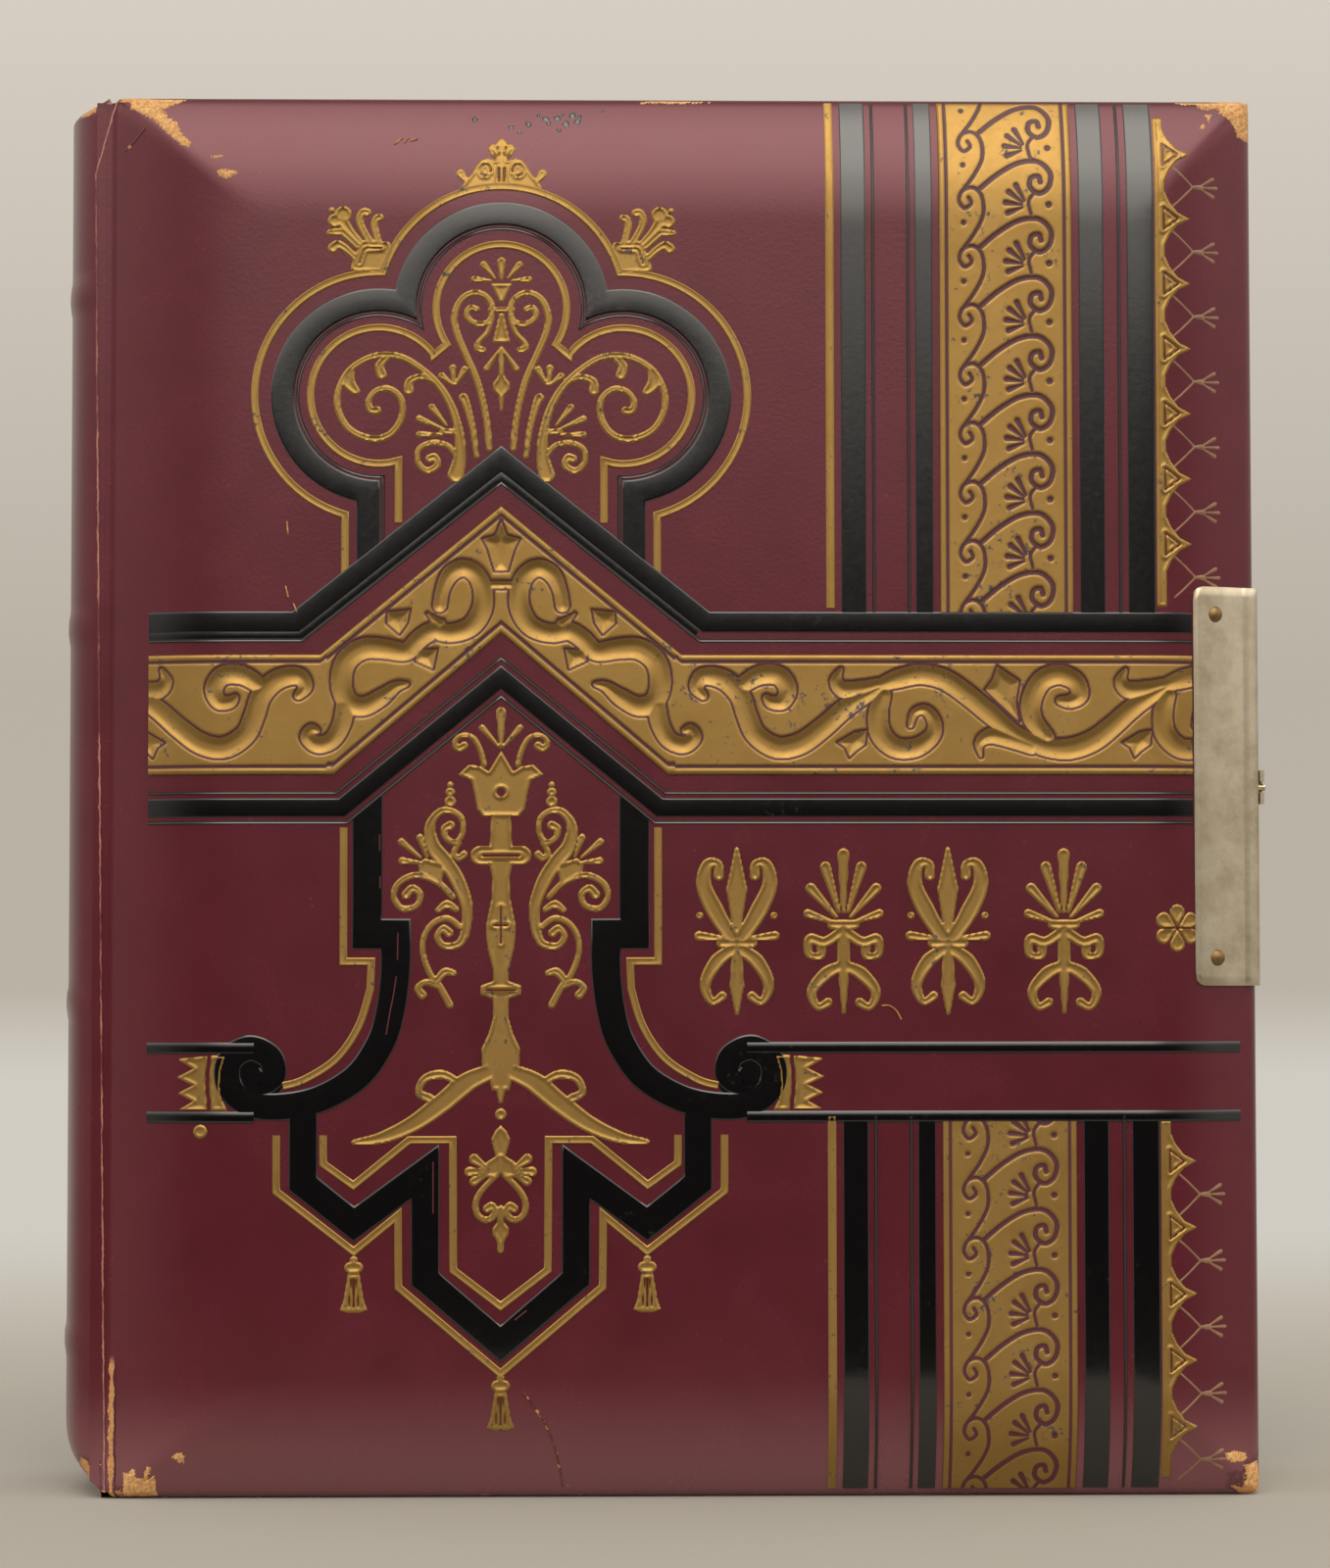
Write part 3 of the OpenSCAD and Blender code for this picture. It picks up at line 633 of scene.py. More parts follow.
def leather_pieces():
    """Covers, spine and hinge strips. The back cover carries a plain raised frame of the same leather."""
    for side, name in ((-1, "front"), (1, "back")):
        shells = [cover_skin(side)]
        if side > 0:
            left = COVER_X + SPINE_BEVEL + FRAME_HALF - AXIS_X
            right = FORE_U - FRAME_INSET - FRAME_HALF
            foot = FRAME_INSET + FRAME_HALF
            corners = [(left, foot), (right, foot), (right, HEIGHT - foot), (left, HEIGHT - foot)]
            for a, b in zip(corners, corners[1:] + corners[:1]):
                shells.append(ribbon(finely([a, b]), FRAME_HALF, FRAME_PROFILE, side))
        points = np.concatenate([shell[0] for shell in shells])
        cover = make_piece(name + "_cover_leather", shells, LEATHER, worn=wear(points[:, 0], points[:, 2]))
        settle(cover, name + "_cover", "maroon_leather", name + "_leather")
        strip = joint_skin(side)
        worn = wear(strip[0][:, 0], strip[0][:, 2])
        joint = make_piece(name + "_joint_leather", [strip], LEATHER, worn=worn)
        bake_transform(joint)
    body, torn = spine_skin()
    spine = make_piece("spine_skin", [body], LEATHER, worn=torn)
    settle(spine, "spine", "maroon_leather", "spine_leather", "spine_former")


# Drawing: strokes and areas in the design's plane

def through(points, steps=8):
    """A smooth curve through given points (Catmull-Rom), with the ends doubled."""
    p = np.asarray(points, float)
    p = np.concatenate([p[:1], p, p[-1:]])
    a, b, c, d = p[:-3, None], p[1:-2, None], p[2:-1, None], p[3:, None]
    t = (np.arange(steps) / steps)[None, :, None]
    span = b + 0.5 * t * (c - a + t * (2 * a - 5 * b + 4 * c - d + t * (3 * (b - c) + d - a)))
    return np.concatenate([span.reshape(-1, 2), p[-1:]])


def arc(centre, radius, start, stop, steps=40):
    """Points of a circular arc, with angles in degrees."""
    angle = np.radians(np.linspace(start, stop, steps + 1))
    return np.column_stack([centre[0] + radius * np.cos(angle), centre[1] + radius * np.sin(angle)])


STEP = 2.0


def finely(points):
    """A path with straight runs cut into steps, so that it can follow the bevelled face."""
    p = np.asarray(points, float)
    parts = []
    for a, b in zip(p[:-1], p[1:]):
        count = max(1, int(np.ceil(np.linalg.norm(b - a) / STEP)))
        parts.append(a + (b - a) * (np.arange(count) / count)[:, None])
    return np.concatenate(parts + [p[-1:]])


def stroke(path, *halves):
    """A path with half widths that run through the given values from its start to its end."""
    path = np.asarray(path, float)
    return path, np.interp(np.linspace(0, 1, len(path)), np.linspace(0, 1, len(halves)), halves)


def curl(points, *halves):
    """A smooth stroke through given points."""
    return stroke(through(points), *halves)


def petal(base, tip, half):
    """A straight stroke that swells from a narrow base to a round tip."""
    return stroke([base, tip], half * 0.35, half)


def dot(centre, radius):
    """A round spot."""
    return stroke([centre, (centre[0] + 0.01, centre[1])], radius)


def area(points):
    """A filled outline."""
    return np.asarray(points, float), None


def mirrored_area(points):
    """A filled outline given on one side of the axis and closed by its mirror image."""
    return area(points + [(-u, z) for u, z in points[::-1] if u])


def mirrored_path(half):
    """A path that ends on the axis, carried on by its mirror image."""
    half = np.asarray(half, float)
    return np.concatenate([half, (half * [-1, 1])[-2::-1]])


def flipped(shapes):
    """Shapes mirrored across the upright axis."""
    return [(path * [-1, 1], half) for path, half in shapes]


def both_sides(shapes):
    """Shapes with their mirror images."""
    return shapes + flipped(shapes)


def moved(shapes, u, z):
    """Shapes carried to another place."""
    return [(path + [u, z], half) for path, half in shapes]


FAR = 1.2
LEAST_RUN = 1e-9


def edge_distance(u, z, shapes):
    """Distance of each grid point from the edge of the nearest shape, negative inside it.

    For a stroke it is the distance to its nearest segment less the half width there. For an area it is
    the distance to its outline, with its sign from the count of crossings. Only the rows and columns
    of the grid near a shape are worked on.
    """
    field = np.full(u.shape, FAR)
    for path, half in shapes:
        reach = FAR + (0 if half is None else half.max())
        low, high = path.min(axis=0) - reach, path.max(axis=0) + reach
        columns = np.flatnonzero((u.max(axis=0) > low[0]) & (u.min(axis=0) < high[0]))
        rows = np.flatnonzero((z.max(axis=1) > low[1]) & (z.min(axis=1) < high[1]))
        if not len(columns) or not len(rows):
            continue
        window = np.s_[rows[0]:rows[-1] + 1, columns[0]:columns[-1] + 1]
        x, y = u[window][..., None], z[window][..., None]
        closed = path if half is not None else np.concatenate([path, path[:1]])
        a, run = closed[:-1], np.diff(closed, axis=0)
        along = (x - a[:, 0]) * run[:, 0] + (y - a[:, 1]) * run[:, 1]
        share = np.clip(along / np.maximum((run ** 2).sum(axis=1), LEAST_RUN), 0, 1)
        gap = np.hypot(x - a[:, 0] - share * run[:, 0], y - a[:, 1] - share * run[:, 1])
        if half is None:
            above = (a[:, 1] > y) != (closed[1:, 1] > y)
            level = np.where(run[:, 1] == 0, LEAST_RUN, run[:, 1])
            crossed = above & (x < a[:, 0] + (y - a[:, 1]) * run[:, 0] / level)
            gap = gap.min(axis=2) * np.where(crossed.sum(axis=2) % 2, -1, 1)
        else:
            gap = (gap - half[:-1] - share * np.diff(half)).min(axis=2)
        field[window] = np.minimum(field[window], gap)
    return field


# Relief: stamped figures as height fields on the cover

CELL = 0.26
RELIEF_CREASE = 60
RELIEF_RISE = 0.3
RELIEF_SUNK = 0.14
RELIEF_DISH = 0.2
RELIEF_DISH_REACH = 0.8
RELIEF_BACK = 0.45
WALL_OUT = 0.14
WALL_WIDTH = 0.22
FLAKE_RISE = 0.1
FLAKE_TEAR = 0.28
FLAKE_OUT = 0.1
FLAKE_WIDTH = 0.3


def window_grid(low, high):
    """A grid of points over a rectangle of the design, a cell apart."""
    return np.meshgrid(*(np.linspace(a, b, int((b - a) / CELL) + 1) for a, b in zip(low, high)))


def corners_about(u, z, half_width, half_height):
    """Two corners of a rectangle about a point of the design."""
    return (u - half_width, z - half_height), (u + half_width, z + half_height)


def relief_piece(name, points, depth, material, slot, *nodes, **marks):
    """A height field on the front cover as a closed piece with a floor at a depth behind it."""
    piece = make_piece(name, [slab(points, depth)], material, crease=RELIEF_CREASE, **marks)
    settle(piece, "front_cover", slot, *nodes)


def flakes(name, low, high, shapes, material, slot, ragged=FLAKE_TEAR):
    """Ragged patches inside a rectangle of the cover: a thin rise inside the outlines, which two crossed
    waves tear, and outside them a ground under the leather."""
    u, z = window_grid(low, high)
    tear = ragged * np.sin(u * 5.3 + 2 * np.sin(z * 3.7)) * np.sin(z * 4.9 + 2 * np.sin(u * 2.9))
    inside = np.clip((FLAKE_OUT - edge_distance(u, z, shapes) - tear) / FLAKE_WIDTH, 0, 1)
    points = on_cover(u, z, -RELIEF_SUNK + (RELIEF_SUNK + FLAKE_RISE) * inside)
    relief_piece(name, points, RELIEF_BACK, material, slot)


def gilt_figures(name, low, high, shapes, cuts=()):
    """Gilt figures inside a rectangle of the cover: the ground lies under the leather, a steep wall brings
    each figure up at its outline, and inside it dishes down. Cuts are shapes taken out of the figures."""
    u, z = window_grid(low, high)
    gap = edge_distance(u, z, shapes)
    if cuts:
        gap = np.maximum(gap, -edge_distance(u, z, cuts))
    wall = np.clip((WALL_OUT - gap) / WALL_WIDTH, 0, 1)
    dish = RELIEF_DISH * easing(-gap / RELIEF_DISH_REACH)
    points = on_cover(u, z, -RELIEF_SUNK + (RELIEF_SUNK + RELIEF_RISE) * wall - dish)
    relief_piece(name, points, RELIEF_BACK, GOLD, "gilt_stamping")


def gilt_pair(name, low, high, shapes, cuts=()):
    """Gilt figures to the right of the axis, and their mirror image to the left of it."""
    gilt_figures(name + "_right", low, high, shapes, cuts)
    gilt_figures(name + "_left", (-high[0], low[1]), (-low[0], high[1]), flipped(shapes), flipped(cuts))


# Ribbons: bands and lines as a profile carried along a path

BAND_PROFILE = [(-1, -0.3), (-1, 0.1), (-0.95, 0.18), (-0.9, 0.205), (-0.84, 0.21), (0, 0.211),
                (0.84, 0.21), (0.9, 0.205), (0.95, 0.18), (1, 0.1), (1, -0.3)]
LINE_PROFILE = [(-1, -0.3), (-1, 0.16), (-0.7, 0.3), (0, 0.2), (0.7, 0.3), (1, 0.16), (1, -0.3)]
FILL_PROFILE = [(-1, -0.3), (-1, 0.02), (0, 0.06), (1, 0.02), (1, -0.3)]
CRACK_PROFILE = [(-1, -0.1), (-1, 0.2), (0, 0.28), (1, 0.2), (1, -0.1)]
FOLD_PROFILE = [(-1, -0.2), (-1, 0.01), (0, 0.08), (1, 0.01), (1, -0.2)]
FRAME_PROFILE = [(-1, -0.3), (-1, 0.02), (-0.8, 0.3), (-0.4, 0.35), (0.4, 0.35), (0.8, 0.3), (1, 0.02),
                 (1, -0.3)]


def sideways(path):
    """Unit-wide step to the left of a path at each point, lengthened at corners into a mitre."""
    run = np.diff(path, axis=0)
    run /= np.linalg.norm(run, axis=1)[:, None]
    left = np.column_stack([-run[:, 1], run[:, 0]])
    before = np.concatenate([left[:1], left])
    after = np.concatenate([left, left[-1:]])
    return (before + after) / (1 + (before * after).sum(axis=1))[:, None]


def carried(plan, profile, side=-1):
    """A closed ribbon from the places of its profile points in plan, row by row along a path; each point
    stands off the face by its height in the profile."""
    return tube(on_cover(plan[..., 0], plan[..., 1], np.array(profile)[None, :, 1], side))


def ribbon(path, half, profile, side=-1, start=None):
    """A profile carried along a path on the cover: each profile point goes sideways by its share of the
    half width. A start line slants the first end to lie along it."""
    half = np.reshape(half, (-1, 1, 1))
    plan = path[:, None, :] + sideways(path)[:, None, :] * half * np.array(profile)[None, :, :1]
    if start is not None:
        plan[0, :, 1] = np.interp(plan[0, :, 0], *start.T)
    return carried(plan, profile, side)


def beside(path, offset):
    """A path moved to its left by an offset."""
    path = np.asarray(path, float)
    return path + sideways(path) * offset


def band(corners, half, profile, offset=0.0):
    """A profile carried along a cornered path, or beside it at an offset to the left: each profile point
    has a mitred path of its own, cut into steps so that it follows the bevelled face."""
    runs = np.linalg.norm(np.diff(corners, axis=0), axis=1)
    counts = np.maximum(1, np.ceil(runs / STEP)).astype(int)
    share = np.concatenate([k + np.arange(n) / n for k, n in enumerate(counts)] + [[len(counts)]])
    whole = np.arange(len(corners))
    plan = np.empty((len(share), len(profile), 2))
    for k, (across, _) in enumerate(profile):
        edge = beside(corners, offset + half * across)
        plan[:, k, 0] = np.interp(share, whole, edge[:, 0])
        plan[:, k, 1] = np.interp(share, whole, edge[:, 1])
    return carried(plan, profile)


# Wear of the front cover, and painted shade in its folds

HIDE_FLAKES = [  # name, two corners of the window, outlines
    ("head_joint", (-71.2, 246), (-47, 266.5), [
        area([(-71.2, 264.4), (-69, 263.4), (-66.6, 262), (-64.6, 260.1), (-62.8, 258.4), (-61, 256.7),
              (-59.4, 256.4), (-59, 257.6), (-60.4, 258.4), (-61.6, 260.2), (-62, 261.6), (-63.8, 262.6),
              (-64.6, 264.2), (-62.8, 265.4), (-60.4, 266.2), (-60.4, 267), (-71.2, 267)]),
        area([(-54.2, 252.1), (-53.7, 250.6), (-52.7, 250.1), (-51.1, 250.6), (-49.3, 251.4),
              (-51.4, 252)]),
        stroke([(-55.2, 254.3), (-53.3, 254.7)], 0.3),
    ]),
    ("head_fore_corner", (127, 257), (FORE_U - 0.2, 266.5), [
        area([(128.6, 266.9), (130.8, 266), (133.6, 266), (135.5, 265.1), (137.7, 265.2),
              (137.9, 264.6), (139.1, 263.3), (140.6, 261.6), (141.4, 259.6), (FORE_U, 258.6),
              (FORE_U, 267), (128.6, 267)]),
        area([(135, 264), (136.6, 263.9), (135.8, 262.2)]),
        stroke([(134.8, 261.6), (134.3, 261)], 0.35),
    ]),
    ("tail_joint", (-71.2, 0.5), (-57, 11), [
        area([(-71.2, 5.2), (-70, 5), (-69.1, 6.2), (-68.6, 4.2), (-67.4, 4), (-66.6, 6.3), (-65.7, 6.1),
              (-66.3, 4), (-65.2, 4.6), (-64.9, 2.5), (-64.7, 0), (-71.2, 0)]),
        area([(-61.9, 8.2), (-60.8, 9.2), (-59.5, 8.7), (-59.3, 6.8), (-60.4, 7.1)]),
    ]),
    ("tail_fore_corner", (134, 0.5), (FORE_U - 0.2, 11), [
        area([(136.9, 8.2), (138.3, 8.6), (140.9, 8.3), (141.4, 7.3), (140.2, 6.3), (138.8, 6.4),
              (137.4, 6.8)]),
        area([(140.6, 5.8), (FORE_U - 0.6, 6.4), (FORE_U, 5), (FORE_U, 2.6), (FORE_U - 1.2, 1.2),
              (140.7, 1.8), (141.2, 3.6)]),
    ]),
    ("head_edge", (24, 264.6), (43, 266.5), [
        stroke([(26.8, 266), (29, 266.4), (33, 266.2), (40, 266.4)], 0.2, 0.5, 0.2),
    ]),
]
SOOT_SPECKS = [(-5.1, 262.3), (1.9, 260.7), (3.5, 259.6), (5.1, 261.4), (7, 263.2), (8.5, 262.6),
               (9, 261.6), (10.7, 262.7), (11.8, 263.3), (13.5, 263.2), (14.8, 263), (12.3, 261.4),
               (11, 260.2), (14.5, 262), (19.2, 264.2)]
SOOT_WINDOW = (-7, 258), (21, 265.8)
SPECK = 0.6
SPECK_VARIES = 0.18
SCRATCHES = [
    [(-40.6, 184.6), (-40.4, 182.2)],
    [(-40.8, 172.3), (-40.3, 170.2)],
    [(-39.3, 169), (-38.7, 167.4)],
    [(72, 92.8), (73.4, 92.8), (74.7, 91.9), (75.7, 90.2)],
    [(-20.5, 257.2), (-18.9, 258.6)],
    [(-18.6, 257.5), (-17.7, 258.7)],
    [(-17.4, 257.9), (-16.1, 258.4)],
]
CRACKS = [
    [(-22.9, 125.2), (-22.9, 122.1)],
    [(-22.8, 117.3), (-22.8, 115)],
    [(-19.4, 106.6), (-19.5, 101.5)],
    [(-19.7, 98.4), (-20.2, 95), (-20.9, 91.5), (-21.6, 87.4)],
    [(-12.7, 63.5), (-12.7, 53.8)],
    [(4.9, 35.6), (2.7, 33.8)],
]
FOLDS = [
    [(-72.2, 256.2), (-70.6, 257.7), (-68.2, 260.4)],
    [(4.3, 20), (7.4, 16), (9.5, 11.8), (10.9, 6.8), (11.7, 2)],
]


def cover_wear_and_fold_shade():
    """Torn flakes at the corners, scratches in the leather, cracks in the black bands, folds darkened with
    painted shade, and specks of soot at the head."""
    for name, low, high, shapes in HIDE_FLAKES:
        flakes("torn_" + name, low, high, shapes, HIDE, "maroon_leather")
    specks = [dot(place, SPECK + SPECK_VARIES * math.sin(3 * k)) for k, place in enumerate(SOOT_SPECKS)]
    flakes("soot_specks", *SOOT_WINDOW, specks, BLACK, "black_stamping")
    for name, lines, half, profile, material, worn in (
            ("scratches", SCRATCHES, 0.12, LINE_PROFILE, HIDE, 0),
            ("cracks", CRACKS, 0.14, CRACK_PROFILE, LEATHER, 0),
            # The folds' worn value of 0.5 darkens them through the leather's scuffed tone as painted shade,
            # with tan spots where its noise runs high.
            ("folds", FOLDS, 0.26, FOLD_PROFILE, LEATHER, 0.5)):
        shells = [ribbon(through(line), half, profile) for line in lines]
        count = sum(len(shell[0]) for shell in shells)
        piece = make_piece(name, shells, material, worn=np.full(count, worn))
        settle(piece, "front_cover", "maroon_leather")


# Layout of the stamped design

BAND = 2.2
FINE = 0.28
SLIVER = 0.62
GILT_LINE = 0.72
GILT_TREFOIL = (23.6, 29.6)
GILT_STRIPE = 62.5
GILT_STRIPE_HALF = 0.8
GILT_STRIPE_FOOT = 168.2
TREFOIL_RADIUS = 18.3
TREFOIL_FOOT = 25.2
CROWN_CENTRE = (0.0, 225.2)
LOBE_CENTRE = (23.2, 208.6)
RAIL_LEFT = -66.9
PLATE_LOW, PLATE_HIGH = box_mm("front_clasp_plate")
PLATE_CLEAR = 0.3
RAIL_RIGHT = PLATE_LOW[0] - AXIS_X - PLATE_CLEAR
STRIPE_HEAD = HEIGHT - 0.9
STRIPE_FOOT = 1.6


def rail(level, peak, reach):
    """A level rail that climbs to a point over the axis."""
    return [(RAIL_LEFT, level), (-reach, level), (0, peak), (reach, level), (RAIL_RIGHT, level)]


UPPER_RAIL = rail(165.5, 196.6, 38.9)
UPPER_TRACKS = [(0, 1.95, BAND_PROFILE), (-3.5, 0.3, LINE_PROFILE)]  # offset, half width, profile
UPPER_FILL = [(-2.6, 0.7, FILL_PROFILE)]
LOWER_RAIL = rail(130.25, 155.0, 30.1)
LOWER_TRACKS = [(0, 1.75, BAND_PROFILE), (2.85, 0.25, LINE_PROFILE), (-2.75, 0.3, LINE_PROFILE)]
UPPER_EDGE = beside(UPPER_RAIL, 1.85)
LOWER_EDGE = beside(LOWER_RAIL, -2.95)
STAND_POINTS = 8


def trefoil(radius, foot):
    """The trefoil's outline at a radius about its three centres: arcs that meet where their circles cross,
    or at the middle between the centres where they don't, and a foot at a distance from the axis that
    ends on the upper rail. It runs from foot to foot."""
    centre, lobe = np.array(CROWN_CENTRE), np.array(LOBE_CENTRE)
    apart = lobe - centre
    span = np.linalg.norm(apart)
    rise = math.sqrt(max(radius ** 2 - span ** 2 / 4, 0))
    meet = (centre + lobe) / 2 + np.array([-apart[1], apart[0]]) / span * rise
    start = math.degrees(math.atan2(*(meet - lobe)[::-1]))
    top = math.degrees(math.atan2(*(meet - centre)[::-1]))
    bottom = -math.degrees(math.acos((foot - lobe[0]) / radius))
    side = arc(lobe, radius, bottom, start)
    crown = arc(centre, radius, top, 90)
    stand = np.linspace((foot, np.interp(foot, *UPPER_EDGE.T)), (foot, side[0, 1]), STAND_POINTS)
    half = np.concatenate([stand, side[1:-1], [meet], crown[1:]])
    return mirrored_path(half)


def trefoil_ribbon(radius, foot, half, profile):
    """A profile carried round the trefoil: each profile point has a trefoil of its own radius."""
    plan = np.stack([trefoil(radius + half * share, foot + half * share) for share, _ in profile], axis=1)
    return carried(plan, profile)


STRIPES = [  # near edge, far edge, fine line beside it
    (64.6, 69.4, 70.8), (78.8, 82.1, 77.5), (110.1, 114.9, None), (119.3, 124.5, 117.8)]
JAMB = [(25.2, 131.5), (25.2, 119), (25.2, 110.5), (25.2, 106.4), (19.8, 106.4)]
JAMB_CURL = [(19.8, 102), (20, 98), (20.8, 92), (22.6, 86), (27, 79.6), (34, 75.4), (41, 73.9),
             (47, 74.4), (51, 77.6), (51.2, 82.3), (47.6, 84.9), (43.6, 83.4), (42.8, 79.8),
             (45.6, 78.2), (47.2, 79.9)]
JAMB_HALVES = (2.85, 2.25)
PENDANT = [(37.2, 72.5), (37.2, 59.5), (27.6, 51.8), (14.2, 61.6), (14.2, 41.5), (0, 29.3)]
PENDANT_HALF = 2.65
LINE_LEVELS = [71.9, 84.9]
LINE_HALF = 1.05
LINE_START = 46.5
LINE_END = 3.5
ROLL = (45.6, 79.4)
ROLL_RADIUS = 5
ROLL_WINDOW = 6.5


def black_pieces():
    """Black bands: flat ribbons, most with a fine line beside them across a sliver of bare leather."""
    trefoil_band = [
        trefoil_ribbon(TREFOIL_RADIUS, TREFOIL_FOOT, BAND, BAND_PROFILE),
        trefoil_ribbon(
            TREFOIL_RADIUS - BAND - SLIVER, TREFOIL_FOOT - BAND - SLIVER, FINE, LINE_PROFILE)]
    rails = []
    for corners, tracks in (
            (UPPER_RAIL, UPPER_TRACKS), (UPPER_RAIL[:4], UPPER_FILL), (LOWER_RAIL, LOWER_TRACKS)):
        rails += [band(corners, half, profile, offset) for offset, half, profile in tracks]
    panel = [band(mirrored_path(PENDANT), PENDANT_HALF, BAND_PROFILE)]
    jamb = np.concatenate([JAMB, through(JAMB_CURL)])
    jamb_half = np.linspace(*JAMB_HALVES, len(jamb))
    for side, name in ((1, "right"), (-1, "left")):
        panel.append(ribbon(jamb * [side, 1], jamb_half, BAND_PROFILE, start=LOWER_EDGE))
        end = FORE_U - LINE_END if side > 0 else RAIL_LEFT
        for level in LINE_LEVELS:
            panel.append(band([(LINE_START * side, level), (end, level)], LINE_HALF, LINE_PROFILE))
        u, z = side * ROLL[0], ROLL[1]
        corners = corners_about(u, z, ROLL_WINDOW, ROLL_WINDOW)
        flakes("black_roll_" + name, *corners, [dot((u, z), ROLL_RADIUS)], BLACK, "black_stamping", 0)
    stripes = []
    for low, high, line in STRIPES:
        middle = (low + high) / 2
        for foot, head in ((STRIPE_FOOT, LINE_LEVELS[0]), (UPPER_EDGE[-1, 1], STRIPE_HEAD)):
            stripes.append(band([(middle, foot), (middle, head)], (high - low) / 2, BAND_PROFILE))
            if line:
                stripes.append(band([(line, foot), (line, head)], FINE, LINE_PROFILE))
    for name, shells in (("trefoil", trefoil_band), ("rail", rails), ("panel", panel), ("stripe", stripes)):
        piece = make_piece("black_" + name + "_bands", shells, BLACK)
        settle(piece, "front_cover", "black_stamping", *(["black_bands"] if name == "rail" else []))


def gilt_lines():
    """Thin gilt lines: dished ribbons that follow the black bands."""
    inner_trefoil = np.concatenate([
        [(19.5, 184.4), (19.5, 196.2)],
        arc(LOBE_CENTRE, 13.0, -104, 142)[1:],
        [(12.9, 216.3), (10.4, 218.4)],
        arc(CROWN_CENTRE, 12.4, -31, 90)[1:],
    ])
    lines = [mirrored_path(inner_trefoil)]
    jamb = [(29.7, 126.5), (29.7, 101.2), (24.4, 101.2), (24.6, 96)]
    curve = [(24.6, 96), (26.8, 89), (31, 82.9), (37, 79), (41, 77.8)]
    for side in (1, -1):
        lines.append(np.concatenate([finely(jamb)[:-1], through(curve)]) * [side, 1])
    outside = [(42.2, 68.5), (42.2, 58), (27.6, 46.7), (19.3, 53.5), (19.2, 40), (0, 23.8)]
    inside = [(33.4, 68.5), (33.4, 63.2), (27.7, 59.1), (17.2, 67.6), (9, 67.6), (8.9, 43.2), (0, 36.4)]
    lines += [mirrored_path(outside), mirrored_path(inside)]
    shells = [ribbon(finely(line), GILT_LINE, LINE_PROFILE) for line in lines]
    shells.append(trefoil_ribbon(*GILT_TREFOIL, GILT_LINE, LINE_PROFILE))
    for foot, head in ((STRIPE_FOOT, LINE_LEVELS[0]), (GILT_STRIPE_FOOT, STRIPE_HEAD)):
        shells.append(band([(GILT_STRIPE, foot), (GILT_STRIPE, head)], GILT_STRIPE_HALF, LINE_PROFILE))
    piece = make_piece("gilt_lines", shells, GOLD)
    settle(piece, "front_cover", "gilt_stamping")


